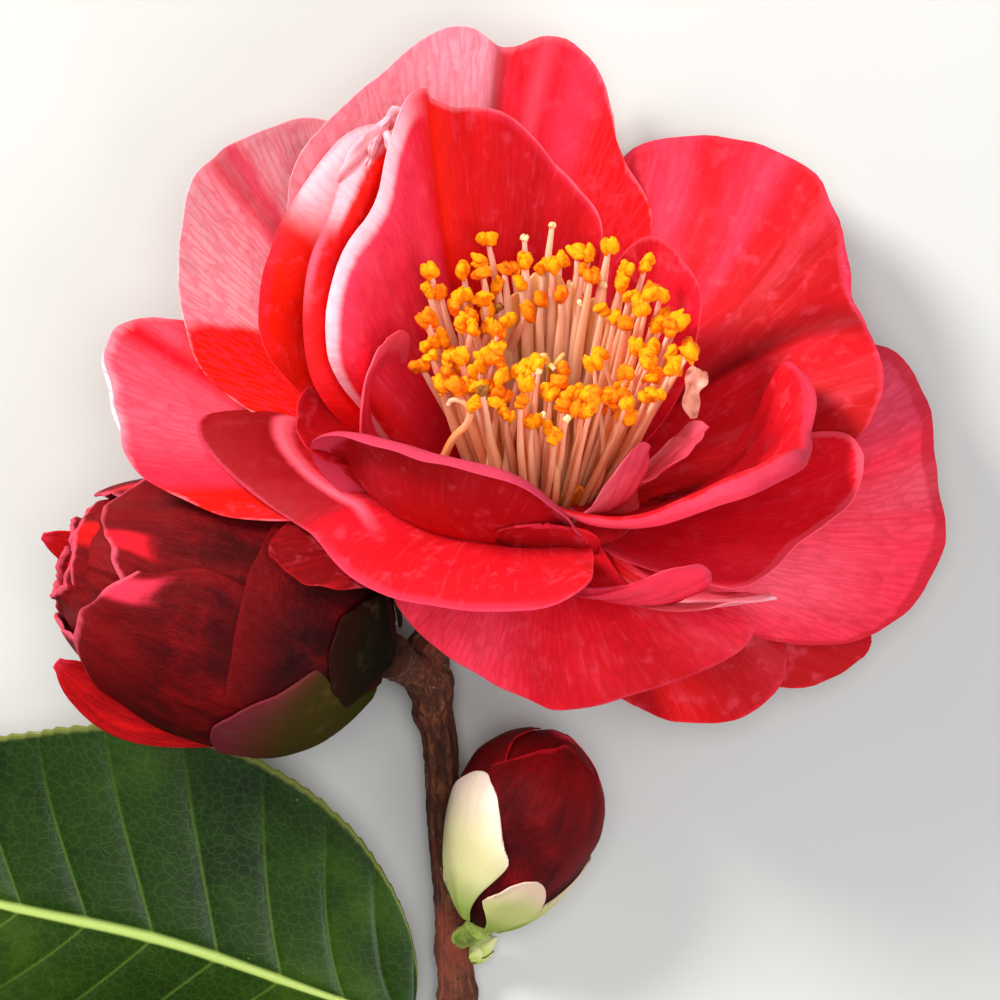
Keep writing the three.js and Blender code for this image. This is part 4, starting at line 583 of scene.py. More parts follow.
# each petal's colour paints in its light and shade: the pale pinks where it faces the light, FLAME, DARK and BLOOD in
# its ramps where it lies in shade
LOOK = {
    # back_petal: pale left half painted light, red right half painted shade, a painted shade streak along its crease
    # with a painted highlight beside it
    "back_petal": dict(tip=[(0, SHELL), (0.3, PALE), (0.497, PALE), (0.535, HOT), (0.60, HOT), (0.64, ROSE), (0.70, RED), (0.86, RED), (1, DEEP)], base=[(0, ROSE), (0.4, PINK), (0.55, RED), (1, RED)], at=(0.1, 0.4), streak=0.25, dark=0.1, net=ROSE, vein=0.9, crease_light_and_shade=[(0.05, 0.035, 0.07, DEEP, 0.6, 0.4), (0.1, 0.17, 0.05, PINK, 0.5, 0.5)]),
    # back_right_petal: the dark streaks in its creases are painted shade
    "back_right_petal": dict(tip=[(0, CRIMSON), (0.22, CRIMSON), (0.30, ROSE), (0.34, HOT), (0.40, ROSE), (0.43, CRIMSON), (0.47, DEEP), (0.55, DEEP), (0.62, CRIMSON), (0.75, DEEP), (1, DARK)], base=[(0, HOT), (0.5, CRIMSON), (1, RED)], streak=0.6, dark=0.7, vein=0.7, net=DEEP, rim=MAUVE, rim_much=0.4, ragged=0.012, curl=ROSE, crease_light_and_shade=[(-0.1, 0.25, 0.09, DARK, 0.8, 0.15), (-0.1, -0.35, 0.05, DEEP, 0.6, 0.3)]),
    # upper_left_petal: pale tip painted light, flame red base and the side below a line painted shade
    "upper_left_petal": dict(tip=[(0, RED), (0.2, HOT), (0.3, PALE), (0.36, SHELL), (0.45, SHELL), (0.53, PALE), (0.57, PINK), (0.60, SHELL), (0.8, SHELL), (1, PALE)], base=[(0, RED), (0.3, FLAME), (0.7, FLAME), (1, HOT)], at=(0.42, 0.52), streak=0.15, dark=0.05, vein=1.2, net=ROSE, rim=BLUSH, crease_light_and_shade=[(0.10, 0.06, 0.05, HOT, 0.6, 0.5)], painted_shade_side=[(0.16, -0.48, -1, FLAME, 1.0, 0.012)]),
    # far_left_petal: pink where it faces the light, flame and deep red along its lower side painted shade
    "far_left_petal": dict(tip=[(0, DEEP), (0.16, RED), (0.22, FLAME), (0.28, FLAME), (0.34, ROSE), (0.5, PINK), (0.58, PINK), (0.63, HOT), (0.68, PINK), (0.85, PINK), (1, HOT)], base=[(0, DEEP), (0.3, DEEP), (0.5, RED), (1, HOT)], at=(0.35, 0.60), streak=0.35, dark=0.2, vein=0.9, net=HOT, rim=PALE, rim_much=0.4, bands=[(-0.16, 0.30, 0.98, 1, SHELL, 0.6)]),
    # right_petal: the deep red rim is painted shade where it rolls away from the light
    "right_petal": dict(tip=[(0, DEEP), (0.2, MAUVE), (0.38, MAUVE), (0.44, ROSE), (0.5, PINK), (0.56, ROSE), (0.64, ROSE), (0.8, ROSE), (1, HOT)], base=[(0, DEEP), (0.3, HOT), (0.5, ROSE), (0.7, PINK), (1, HOT)], at=(0.5, 0.95), streak=0.9, dark=0.35, vein=0.8, net=DEEP, rim=DEEP, rim_from=0.95, rim_much=0.5),
    "lower_right_petal": dict(tip=[(0, DEEP), (0.5, DEEP), (1, DEEP)], streak=0.2, dark=0.7, vein=0.3, rim=HOT),
    "bottom_petal": dict(tip=[(0, DEEP), (0.4, DEEP), (0.6, RED), (0.7, DEEP), (1, DEEP)], streak=0.45, dark=0.5, vein=0.45, net=HOT, rim=ROSE),
    "front_petal": dict(tip=[(0, HOT), (0.2, ROSE), (0.35, CRIMSON), (0.5, HOT), (0.62, ROSE), (0.8, ROSE), (1, ROSE)], base=[(0, RED), (0.4, HOT), (1, ROSE)], at=(0.3, 0.8), streak=0.7, dark=0.4, vein=0.9, net=DEEP, rim=MAUVE, rim_much=0.4, ragged=0.008),
    # lower_left_petal: dark red all over, painted shade where it hangs over the bud
    "lower_left_petal": dict(tip=[(0, BLOOD), (0.5, DARK), (1, DARK)], streak=0.05, dark=0.8, vein=0.2, net=DEEP, rim=DEEP, foot=BLOOD),
    # left_mid_petal, left_inner_petal and back_inner_petal: flame red is painted shade, the pale bands on their rolled
    # margins painted highlight
    "left_mid_petal": dict(tip=[(0, FLAME), (1, FLAME)], base=[(0, FLAME), (1, FLAME)], streak=0.05, dark=0.25, vein=0.15, net=RED, rim=HOT, ragged=0.012, bands=[(-0.45, -0.02, 0.96, 1, HOT, 0.6), (0.0, 0.46, 0.80, 1, SHELL, 0.95), (0.05, 0.5, 0.955, 1, BLUSH, 0.5)]),
    "left_inner_petal": dict(tip=[(0, RED), (0.35, RED), (0.6, FLAME), (1, RED)], base=[(0, FLAME), (1, FLAME)], streak=0.05, dark=0.25, vein=0.15, net=RED, rim=HOT, ragged=0.007, bands=[(-0.45, -0.2, 0.96, 1, PINK, 0.7), (-0.22, 0.34, 0.93, 1, SHELL, 0.95), (-0.1, 0.32, 0.975, 1, BLUSH, 0.5)]),
    "back_inner_petal": dict(tip=[(0, HOT), (0.12, RED), (0.22, ROSE), (0.42, ROSE), (0.47, HOT), (0.51, FLAME), (0.56, RED), (0.7, CRIMSON), (1, RED)], base=[(0, HOT), (0.3, HOT), (0.44, ROSE), (0.50, FLAME), (0.60, FLAME), (0.75, RED), (1, HOT)], at=(0.3, 0.9), streak=0.6, dark=0.15, vein=0.6, net=DEEP, ragged=0.006, crease_light_and_shade=[(-0.02, 0.04, 0.10, FLAME, 0.9, 0.1)], bands=[(-0.86, -0.06, 0.945, 1, SHELL, 0.95), (-0.78, -0.12, 0.975, 1, BLUSH, 0.6), (0.2, 0.75, 0.975, 1, ROSE, 0.6)]),
    "right_back_inner_petal": dict(tip=[(0, RED), (0.4, DEEP), (0.6, HOT), (1, HOT)], base=[(0, RED), (1, HOT)], streak=0.4, dark=0.3, vein=0.4, net=ROSE, rim=PINK),
    # front_left_petal: dark red at its base is painted shade under the lip, the dark margin band painted shade, the
    # pink and pale arc a painted highlight along its margin
    "front_left_petal": dict(tip=[(0, HOT), (0.25, CRIMSON), (0.45, CRIMSON), (0.55, HOT), (0.70, DEEP), (1, DARK)], base=[(0, DARK), (0.3, DARK), (0.45, RED), (0.6, HOT), (0.7, DEEP), (1, DARK)], at=(0.42, 0.62), streak=0.5, dark=0.35, vein=0.7, net=DEEP, rim=MAUVE, rim_much=0.6, ragged=0.006, bands=[(0.06, 0.50, 0.80, 1, DARK, 0.75), (-0.02, 0.52, 0.735, 0.80, PINK, 0.62), (0.02, 0.50, 0.765, 0.785, PALE, 0.3), (-0.5, 0.04, 0.965, 1, ROSE, 0.6)]),
    "right_scoop_petal": dict(tip=[(0, HOT), (0.3, CRIMSON), (0.6, CRIMSON), (1, DEEP)], base=[(0, RED), (0.4, HOT), (0.6, HOT), (1, HOT)], at=(0.35, 0.75), streak=0.4, dark=0.3, vein=0.5, net=DEEP, rim=MAUVE, rim_from=0.93, rim_much=0.5, ragged=0.02, bands=[(-0.5, 0.15, 0.90, 1, ROSE, 0.7), (0.1, 0.95, 0.86, 1, CRIMSON, 0.6), (0.1, 0.95, 0.885, 0.95, MAUVE, 0.8)]),
    "right_under_petal": dict(tip=[(0, HOT), (0.5, HOT), (1, ROSE)], base=[(0, HOT), (1, HOT)], streak=0.5, dark=0.15, vein=0.5, net=DEEP, rim=PINK, rim_from=0.95, rim_much=0.6),
    # front_lip_petal: the pink band on its rolled rim is a painted highlight
    "front_lip_petal": dict(tip=[(0, DEEP), (0.5, DEEP), (1, DEEP)], base=[(0, RED), (0.5, RED), (1, RED)], streak=0.25, dark=0.5, vein=0.3, net=DARK, rim=MAUVE, rim_from=0.87, rim_much=1.0, ragged=0.03, curl=MAUVE, bands=[(-0.9, 0.7, 0.90, 0.95, PINK, 0.55)]),
    "front_right_tip_petal": dict(tip=[(0, ROSE), (0.3, PINK), (0.5, PALE), (1, HOT)], base=[(0, RED), (0.4, RED), (1, HOT)], streak=0.9, dark=0.5, vein=0.5, net=DEEP, bands=[(-0.1, 0.2, 0.93, 1, BLUSH, 0.8)]),
    "front_right_petal": dict(tip=[(0, HOT), (0.5, ROSE), (1, ROSE)], base=[(0, RED), (1, RED)], streak=0.4, dark=0.4, vein=0.4, rim=MAUVE, rim_much=0.7),
    "left_petaloid": dict(tip=[(0, HOT), (0.5, ROSE), (0.7, ROSE), (1, ROSE)], base=[(0, FLAME), (1, HOT)], streak=0.25, dark=0.1, vein=0.3, rim=PINK, rim_from=0.93, rim_much=0.6, bands=[(-0.35, 0.25, 0.92, 1, PINK, 0.7)]),
    "left_small_petal": dict(tip=[(0, DEEP), (0.5, DEEP), (1, DEEP)], base=[(0, DEEP), (1, DEEP)], streak=0.1, vein=0.3, rim=ROSE),
    "right_petaloid_1": dict(tip=[(0, ROSE), (0.5, PINK), (1, PALE)], base=[(0, DEEP), (1, HOT)], at=(0.3, 0.6), streak=0.5, dark=0.2, vein=0.5, net=ROSE, rim=MAUVE, rim_from=0.85, rim_much=0.4),
    "right_petaloid_2": dict(tip=[(0, PALE), (0.5, PINK), (1, PINK)], base=[(0, DEEP), (1, HOT)], at=(0.3, 0.6), streak=0.5, dark=0.2, vein=0.5, net=ROSE, rim=MAUVE, rim_from=0.85, rim_much=0.4),
}
SHAPE = {
    "right_petaloid_1": dict(ruf=2.0, crisp=2.0, w=44.6),
    "front_left_petal": dict(ruf=3.6, crisp=2.0, crease=[(0.3, 0.05, -5, 0.07, 0.5), (0.5, 0.22, 6, 0.12, 0.4), (-0.15, -0.2, 3.5, 0.09, 0.45), (-0.3, -0.42, -3, 0.08, 0.5)]),
    "front_lip_petal": dict(ruf=2.0, crisp=4.4, tight=0.92, rs=0.80, roll=[55, 90, 110, 115, 110, 90, 55], mid=[445, 524, 300], tip=[452, 407, 387]),
    "right_scoop_petal": dict(ruf=2.0, crisp=3.4, tight=0.38, mid=[716, 499, 236], tip=[842, 376, 325], w=330),
    "back_inner_petal": dict(ruf=3.5, crisp=4.0, tight=0.68, tip=[429, 58, 248], crease=[(-0.02, 0.04, 9, 0.08, 0.2)]),
    "left_inner_petal": dict(ruf=3.0, crisp=4.0, tight=0.68),
    "left_mid_petal": dict(ruf=2.5, crisp=3.4, tight=0.8, mid=[390, 337, 102], tip=[287, 191, 202], w=306),
    "back_right_petal": dict(ruf=5.5, crisp=3.2, notch=0.045, nph=32, crease=[(-0.1, 0.25, 11, 0.06, 0.15), (0, -0.28, 8, 0.06, 0.4), (0, -0.12, 8, 0.06, 0.5), (0, 0.02, 9, 0.05, 0.6), (0, -0.4, 6, 0.05, 0.5)], curl=[(0.0, 0.32, 8, 100)]),
    "back_petal": dict(ruf=3.5, crisp=1.6, crease=[(0.05, 0.035, 10, 0.04, 0.5)], curl=[(0.36, 0.50, 8, 80)]),
    "upper_left_petal": dict(ruf=2.5, crisp=1.4, crease=[(0.10, 0.06, -7, 0.05, 0.4), (0.5, 0.35, 6, 0.07, 0.6)]),
    "far_left_petal": dict(ruf=3.0, crisp=2.2, crease=[(0.25, 0.12, 8, 0.06, 0.3)], curl=[(-0.12, 0.16, 4, 100)]),
    "right_petal": dict(ruf=4.2, crisp=2.0, crease=[(-0.1, -0.25, 6, 0.06, 0.6), (0.2, 0.3, 5, 0.1, 0.4), (0.05, 0.03, 4, 0.07, 0.5)]),
    "front_right_tip_petal": dict(ruf=2.0, crisp=1.6, crease=[(-0.35, -0.45, 2.5, 0.05, 0.4), (-0.2, -0.3, 2.5, 0.05, 0.4)]),
    "bottom_petal": dict(ruf=3.0, crisp=1.6, crease=[(-0.3, -0.42, 5, 0.05, 0.6)]),
    "front_petal": dict(ruf=4.2, crisp=2.4, crease=[(0.1, 0.1, 5, 0.12, 0.5), (-0.4, -0.35, 5, 0.1, 0.5), (-0.1, -0.14, -3.5, 0.08, 0.4)]),
}

for i, p in enumerate(PETALS):
    q = dict(p, seed=100 + 7 * i, **SHAPE.get(p["name"], {}))
    small = q["w"] < 125
    G, U, W = petal(q, 26 if small else 44, 40 if small else 84)
    thick = 3.8 - 2.2 * np.minimum(U, 1) ** 3
    V, F, uv = shell(G, U, W, thick)
    m = petal_material(q["name"] + "_tissue", seed=float(i * 5), **LOOK[q["name"]])
    mesh(q["name"], V, F, m, uv=uv, node=q["name"], slot="petaloid_pink" if "petaloid" in q["name"] else "petal_red")

# ---- the bloom's base
E = unit(np.cross(AXIS, [0, 0, 1]))
Fv = np.cross(AXIS, E)


def plain_red():
    n = Nodes("bloom_base_tissue")
    b = n.noise(n.where(), 300.0, 3.0, 0.6)
    return n.surface(n.ramp(b, [(0.3, DEEP), (0.7, HOT)]), 0.5, n.bump(b, 0.3, 0.0003))


H = np.array([-2, 4, 10, 16, 20, 21.5])
R = np.array([50, 72, 92, 98, 88, 60.0])
C = HEART + AXIS * H[:, None]
wv = waves(5)
a = np.arange(48) / 48 * 2 * math.pi
RR = R[:, None] * (1 + 0.03 * wv(H[:, None] * 0.1, np.cos(a)[None, :] * 6 + 3 * np.sin(a)[None, :]))
V, F, uv = ringed(C, RR, np.tile(E, (6, 1)), np.tile(Fv, (6, 1)), 48)
mesh("bloom_base", V, F, plain_red(), uv=uv, node="bloom_base", slot="petal_red")


# ---- stamens: filaments fused in a ribbed cup at the foot, each with a lobed anther
def filament_material(name, stops):
    n = Nodes(name)
    u, v = n.uv()
    g = n.noise(n.vec(n.math("MULTIPLY", u, 2.0), n.math("MULTIPLY", v, 9.0)), 1.0, 3.0)
    col = n.ramp(u, stops)
    col = n.mix(n.math("MULTIPLY", n.span(g, 0.48, 0.7), 0.55), col, lin((254, 226, 186)))
    col = n.mix(n.math("MULTIPLY", n.span(g, 0.46, 0.3), 0.3), col, lin((246, 150, 90)))
    return n.surface(col, 0.38, n.bump(g, 0.25, 0.0002), glow=lin((255, 172, 96)), through=0.42, spec=0.25)


def anther_material(name, light, dark):
    n = Nodes(name)
    w = n.where()
    g = n.noise(w, 900.0, 4.0, 0.65)
    h = n.noise(w, 2600.0, 2.0, 0.6)
    col = n.ramp(g, [(0.3, lin(dark)), (0.5, lin(light)), (0.75, lin([min(255, c + 22) for c in light]))])
    col = n.mix(n.math("MULTIPLY", n.span(h, 0.55, 0.75), 0.5), col, lin([min(255, c + 40) for c in light]))
    nor = n.bump(h, 0.55, 0.0002, n.bump(g, 0.5, 0.0003))
    return n.surface(col, 0.8, nor, spec=0.12)


FILAMENT = filament_material("filament", [(0, lin((236, 108, 34))), (0.2, lin((250, 164, 92))), (0.45, lin((254, 204, 154))), (0.8, lin((255, 218, 180))), (1, lin((255, 226, 200)))])
TUBE = filament_material("filament_tube", [(0, lin((222, 96, 4))), (0.3, lin((244, 150, 34))), (0.6, lin((252, 200, 110))), (1, lin((255, 226, 176)))])
GOLD = anther_material("anther_gold", (250, 146, 0), (230, 92, 0))
ORANGE = anther_material("anther_orange", (242, 116, 0), (208, 66, 0))
BROWN = anther_material("anther_spent", (150, 92, 34), (70, 38, 18))
CREAM = anther_material("anther_bare", (246, 206, 150), (230, 150, 90))


def ball(nr=12, nc=14):
    th = np.linspace(0, math.pi, nr + 1)[1:-1]
    ph = np.arange(nc) / nc * 2 * math.pi
    D = np.stack([np.sin(th)[:, None] * np.cos(ph), np.sin(th)[:, None] * np.sin(ph), np.cos(th)[:, None] + 0 * ph], -1).reshape(-1, 3)
    D = np.vstack([D, [[0, 0, 1], [0, 0, -1]]])
    i, j = np.meshgrid(np.arange(nr - 2), np.arange(nc), indexing="ij")
    i, j = i.ravel(), j.ravel()
    k = (j + 1) % nc
    Q = np.stack([i * nc + j, (i + 1) * nc + j, (i + 1) * nc + k, i * nc + k], 1)
    j = np.arange(nc)
    k = (j + 1) % nc
    o = (nr - 1) * nc
    T = np.vstack([np.stack([np.full(nc, o), j, k], 1), np.stack([np.full(nc, o + 1), (nr - 2) * nc + k, (nr - 2) * nc + j], 1)])
    return D, [Q, T]


BALL, BALL_F = ball()


def anther(heap, at, tip, r, which, size=1.0):
    """Two swollen lobes side by side, rough with pollen, tilted on the filament's tip."""
    t = unit(tip)
    side = unit(np.cross(t, r.normal(size=3)))
    up = np.cross(t, side)
    for sgn in (-1, 1):
        f = waves(int(r.integers(1 << 30)))
        D = BALL
        lump = 1 + 0.15 * f(D[:, 0] * 3 + D[:, 2] * 2, D[:, 1] * 3) + 0.10 * f(D[:, 2] * 7, D[:, 0] * 7 + D[:, 1] * 6)
        a, b, c = r.uniform(4.8, 5.8) * size, r.uniform(4.6, 5.6) * size, r.uniform(6.8, 8.6) * size
        P = D * lump[:, None] * np.array([a, b, c])
        P[:, 0] += sgn * 3.1 * size
        P[:, 1] += 0.06 * P[:, 2] ** 2 * 0.3 * sgn
        heap.put(at + P[:, :1] * side + P[:, 1:2] * up + P[:, 2:3] * t, BALL_F, np.tile([[0.5, 0.5]], (len(P), 1)), which)


def strand(heap, pts, rad, nc=7, n=14, which=0, flat=1.0, wrinkle=0.0, seed=0):
    C = spline(pts, n)
    T, N, B = along(C, AXIS + np.array([0.3, 0.1, -0.2]))
    s = np.linspace(0, 1, n + 1)
    R = np.interp(s, np.linspace(0, 1, len(rad)), rad)
    if wrinkle:
        an = np.arange(nc) / nc * 2 * math.pi
        R = R[:, None] * (1 + wrinkle * waves(seed)(s[:, None] * 11, 2.5 * np.cos(an)[None] + 2 * np.sin(an)[None]) + 0.5 * wrinkle * waves(seed + 1)(s[:, None] * 26, 5 * np.cos(an)[None] - 4 * np.sin(an)[None]))
    V, F, uv = ringed(C, R, N, B * flat, nc)
    heap.put(V, F, uv, which)
    return C[-1], T[-1]


def ring_at(h, r, ang):
    return HEART + AXIS * h + E * r * math.cos(ang) + Fv * r * math.sin(ang)


TUFTS = 6
for k in range(TUFTS):
    fil, ant = Heap(), Heap()
    r = np.random.default_rng(40 + k)
    count, more = 20, (0, 0, 4, 9, 9, 2)[k]
    for j in range(count + more):
        inner = j >= count
        part = (j - count + r.uniform(0.2, 0.8)) / more if inner else (j + r.uniform(0.2, 0.8)) / count
        ang = 2 * math.pi * (k + part) / TUFTS
        deep = np.clip([0.0, 0.6, 0.22, 0.9, 0.42][j % 5] + r.uniform(-0.08, 0.12), 0, 1)     # 0 outer, 1 inner
        far = max(0.0, math.sin(ang))
        r1 = 132 - 56 * deep + r.uniform(-7, 7)
        h1 = 232 - 22 * deep + r.uniform(-26, 16) + 8 * far
        if inner:
            r1, h1 = r.uniform(42, 82), r.uniform(206, 236)
        r0, rm = 55 - 12 * deep, 96 - 34 * deep
        wob, bow = r.uniform(-0.07, 0.07), r.uniform(-3, 5)
        pts = []
        for q in (0, 0.2, 0.42, 0.65, 0.85, 1.0):
            rr = np.interp(q, [0, 0.5, 1], [r0, rm, r1]) + bow * math.sin(math.pi * q)
            pts.append(ring_at(20 + (h1 - 20) * q, rr, ang + wob * math.sin(q * 2.4) + r.uniform(-0.012, 0.012)))
        wide = r.uniform(0.9, 1.15)
        end, t = strand(fil, pts, [7.4 * wide, 7.2 * wide, 6.2 * wide, 5.0, 3.8, 2.6], flat=0.62)
        kind = r.uniform()
        if kind < 0.90:
            anther(ant, end + t * 3, t + 0.6 * r.normal(size=3), r, 0 if r.uniform() < 0.66 else 1, r.uniform(0.98, 1.28))
        elif kind < 0.95:
            anther(ant, end + t * 2, t + 0.6 * r.normal(size=3), r, 2, 0.70)
        else:
            anther(ant, end + t * 2, t + 0.3 * r.normal(size=3), r, 3, 0.5)
    # this wedge's part of the ribbed cup, taller at the far side
    nh, na = 26, 44
    hs = np.linspace(16, 1, nh + 1)[:, None] * 0 + np.linspace(0, 1, nh + 1)[:, None]
    an = np.linspace(2 * math.pi * k / TUFTS, 2 * math.pi * (k + 1) / TUFTS, na + 1)[None, :]
    top = 72 + 116 * np.maximum(0, np.sin(an)) ** 0.7 + 10 * waves(70)(np.cos(an) * 7, np.sin(an) * 7) + 9 * np.abs(np.sin(an * 15))
    hh = 16 + (top - 16) * hs
    rib = (1.9 * np.abs(np.sin(an * 30)) + 1.0 * np.sin(an * 47 + 1.3)) * (0.4 + 0.8 * hs)
    rr = np.interp(hh, [16, 60, 130, 236], [50, 68, 88, 122]) + rib
    G = HEART + AXIS * hh[..., None] + E * (rr * np.cos(an))[..., None] + Fv * (rr * np.sin(an))[..., None]
    V, F, uv = shell(G, (hh - 16) / 240 + 0 * an, 0 * hs + (an * 3) % 1, 3.6)
    fil.put(V, F, uv, 1)
    fil.make("stamens_%d_filaments" % (k + 1), [FILAMENT, TUBE], node="stamens_%d" % (k + 1), slot="stamen_gold")
    ant.make("stamens_%d_anthers" % (k + 1), [GOLD, ORANGE, BROWN, CREAM], slot="stamen_gold")

style_m = Nodes("style_tissue")
g = style_m.noise(style_m.where(), 500.0, 3.0, 0.6)
su, sv = style_m.uv()
STYLE = style_m.surface(style_m.mix(style_m.span(g, 0.4, 0.7, 0.0, 0.6), style_m.ramp(su, [(0, lin((206, 116, 14))), (0.6, lin((224, 160, 60))), (1, lin((244, 214, 150)))]), lin((246, 206, 130))), 0.45, style_m.bump(g, 0.3, 0.0002), glow=lin((240, 160, 40)), through=0.15, spec=0.35)

# one bare filament that has looped over, and the style with its three arms
loose = Heap()
strand(loose, [seen(438, 470, 262), seen(452, 440, 300), seen(466, 425, 318), seen(470, 412, 330), seen(463, 402, 334), seen(452, 400, 330), seen(448, 405, 326)], [4.4, 4.0, 3.6, 3.2, 2.6, 2.0], n=24)
loose.make("looped_filament", [FILAMENT], slot="stamen_gold")
style = Heap()
strand(style, [ring_at(20, 1, 0), ring_at(90, 3, 1), ring_at(150, 2, 2), ring_at(176, 1, 2)], [9, 6.5, 5, 4.6], nc=10, n=16)
for a0 in (0.4, 2.5, 4.6):
    strand(style, [ring_at(166, 1, a0), ring_at(182, 4, a0), ring_at(192, 9, a0), ring_at(191, 14, a0 + 0.3)], [4.2, 3.8, 3.2, 2.6], n=10)
style.make("pistil", [STYLE], node="pistil", slot="stamen_gold")

# the pale knot where the rolled margins of the inner petals meet, its pale pink a painted highlight where they face the
# light
fold_m = petal_material("folded_margin_tissue", tip=[(0, SHELL), (0.3, BLUSH), (0.6, SHELL), (1, PALE)], streak=0.5, dark=0.0, vein=0.8, net=ROSE, rim_much=0.0, foot=PALE, foot_to=0.12, through=0.15, seed=77.0)
knot = Heap()
strand(knot, [seen(338, 182, 206), seen(350, 163, 211), seen(366, 144, 213), seen(384, 126, 214), seen(399, 115, 217), seen(409, 114, 220), seen(412, 123, 219)], [3, 8, 10.5, 8.5, 11.5, 9.5, 11, 10, 6, 2], nc=20, n=70, flat=0.5, wrinkle=0.26, seed=611)
strand(knot, [seen(392, 119, 217), seen(383, 132, 216), seen(375, 146, 214), seen(371, 159, 211), seen(366, 172, 208)], [4, 8, 6.5, 8, 5, 6, 3], nc=20, n=56, flat=0.5, wrinkle=0.30, seed=617)
strand(knot, [seen(384, 130, 219), seen(389, 142, 224), seen(394, 156, 229), seen(395, 170, 232), seen(390, 184, 233)], [3, 6, 5, 6.5, 5, 2], nc=20, n=50, flat=0.55, wrinkle=0.28, seed=623)
knot.make("folded_margin", [fold_m], slot="petal_red")

# a withered scrap of a petaloid at the ring's right
scrap_m = Nodes("withered_scrap")
g = scrap_m.noise(scrap_m.where(), 700.0, 4.0, 0.65)
scrap = scrap_m.surface(scrap_m.ramp(g, [(0.35, lin((206, 120, 96))), (0.55, lin((240, 176, 150))), (0.75, lin((252, 214, 190)))]), 0.7, scrap_m.bump(g, 0.6, 0.0003), through=0.2, glow=lin((250, 150, 110)))
pts = [seen(694, 418, 262), seen(691, 400, 268), seen(694, 384, 274), seen(700, 370, 280)]
Cs = spline(pts, 14)
Ts, Ns, Bs = along(Cs, (0, 0, 1))
s = np.linspace(0, 1, 15)[:, None]
v = np.linspace(-1, 1, 11)[None, :]
half = 3 + 9 * np.sin(np.clip(s, 0, 1) * 2.6) * (0.75 + 0.35 * np.sin(s * 9))
wv = waves(303)
G = Cs[:, None] + Bs[:, None] * (v * half)[..., None] + Ns[:, None] * (4 * wv(s * 6, v * 4) * s)[..., None]
V, F, uv = shell(G, s + 0 * v, 0 * s + (v + 1) / 2, 1.8)
mesh("withered_scrap", V, F, scrap, uv=uv, slot="petaloid_pink")


# ---- buds
def bud_at(foot, tip, prof):
    a, b = seen(*foot), seen(*tip)
    ax = unit(b - a)
    N0 = unit(np.array([0, 0, 1.0]) - ax * ax[2])
    B0 = np.cross(ax, N0)
    ps, pr = np.array(prof).T

    def at(s, ang, lift=0.0):
        s, ang = np.broadcast_arrays(s, ang)
        r = np.interp(s, ps, pr) + lift
        return a + (b - a) * s[..., None] + N0 * (r * np.cos(ang))[..., None] + B0 * (r * np.sin(ang))[..., None]
    return at


def smooth_profile(prof, n=60):
    s = np.linspace(0, 1, n)
    ps, pr = np.array(prof).T
    r = np.interp(s, ps, pr)
    for _ in range(6):
        r[1:-1] = (r[:-2] + 2 * r[1:-1] + r[2:]) / 4
    return list(zip(s, r))


def bud_body(name, foot, tip, prof, mat, node, slot, shrink=0.0, seed=0, rough=2.0):
    at = bud_at(foot, tip, prof)
    n, nc = 60, 88
    s = (1 - np.cos(np.linspace(0, math.pi, n))) / 2
    an = np.arange(nc) / nc * 2 * math.pi
    w = waves(seed)
    lift = -shrink + rough * w(s[:, None] * 4, np.cos(an)[None] * 3 + np.sin(an)[None] * 2)
    P = at(s[:, None], an[None, :], lift)
    V = np.vstack([P.reshape(-1, 3), at(np.array([0.0]), np.array([0.0]), -1e9 * 0), at(np.array([1.0]), np.array([0.0]))])
    V[-2], V[-1] = seen(*foot), seen(*tip)
    i, j = np.meshgrid(np.arange(n - 1), np.arange(nc), indexing="ij")
    i, j = i.ravel(), j.ravel()
    k = (j + 1) % nc
    Q = np.stack([i * nc + j, i * nc + k, (i + 1) * nc + k, (i + 1) * nc + j], 1)
    j = np.arange(nc)
    k = (j + 1) % nc
    T = np.vstack([np.stack([np.full(nc, n * nc), k, j], 1), np.stack([np.full(nc, n * nc + 1), (n - 1) * nc + j, (n - 1) * nc + k], 1)])
    uv = np.vstack([np.stack([np.repeat(s, nc), np.tile(an / (2 * math.pi), n)], 1), [[0, 0.5], [1, 0.5]]])
    return mesh(name, V, [Q, T], mat, uv=uv, node=node, slot=slot)


def wrap(name, foot, tip, prof, s0, s1, a0, a1, lift, mat, slot, node=(), seed=0, crisp=3.0, flare=0.0, droop=0.22, curl=0.0, open0=0.3, nu=46, nv=64, thick=3.2, corner=0.0, skew=0.0):
    """A bud petal or sepal wrapped round the bud, from s0 to its rim at s1, between two angles in degrees."""
    at = bud_at(foot, tip, prof)
    u, v = np.linspace(0, 1, nu + 1)[:, None], np.linspace(-1, 1, nv + 1)[None, :]
    w1, w2, w3 = waves(seed), waves(seed + 1), waves(seed + 2)
    wide = (open0 + (1 - open0) * np.sin(math.pi / 2 * np.clip(u * 1.35, 0, 1))) * (1 - 0.18 * ease(0.7, 1, u))
    near = u ** 5
    s = s0 + (s1 - s0) * u * (1 - droop * v ** 2 * u - corner * np.abs(v) ** 6 * u ** 3) + skew * v * u
    s = s + near * (0.009 * crisp / 3 * w1(v * 8, u) + 0.003 * crisp / 3 * w2(v * 16, u))
    mid, half = (a0 + a1) / 2, (a1 - a0) / 2
    ang = np.radians(mid + half * v * wide)
    up = lift + flare * u ** 3 - curl * ease(0.86, 1.0, u) + crisp * near * w2(v * 7, u * 2) + 0.8 * w3(u * 5, v * 6) - 1.4 * np.abs(v) ** 8
    over = np.maximum(s - 1, 0)
    G = at(np.minimum(s, 1.0), ang, up)
    a, b = seen(*foot), seen(*tip)
    G = G + (b - a) * over[..., None]
    V, F, uv = shell(G, u + 0 * v, (v + 1) / 2 + 0 * u, thick - 1.0 * u ** 3)
    return mesh(name, V, F, mat, uv=uv, node=node, slot=slot)


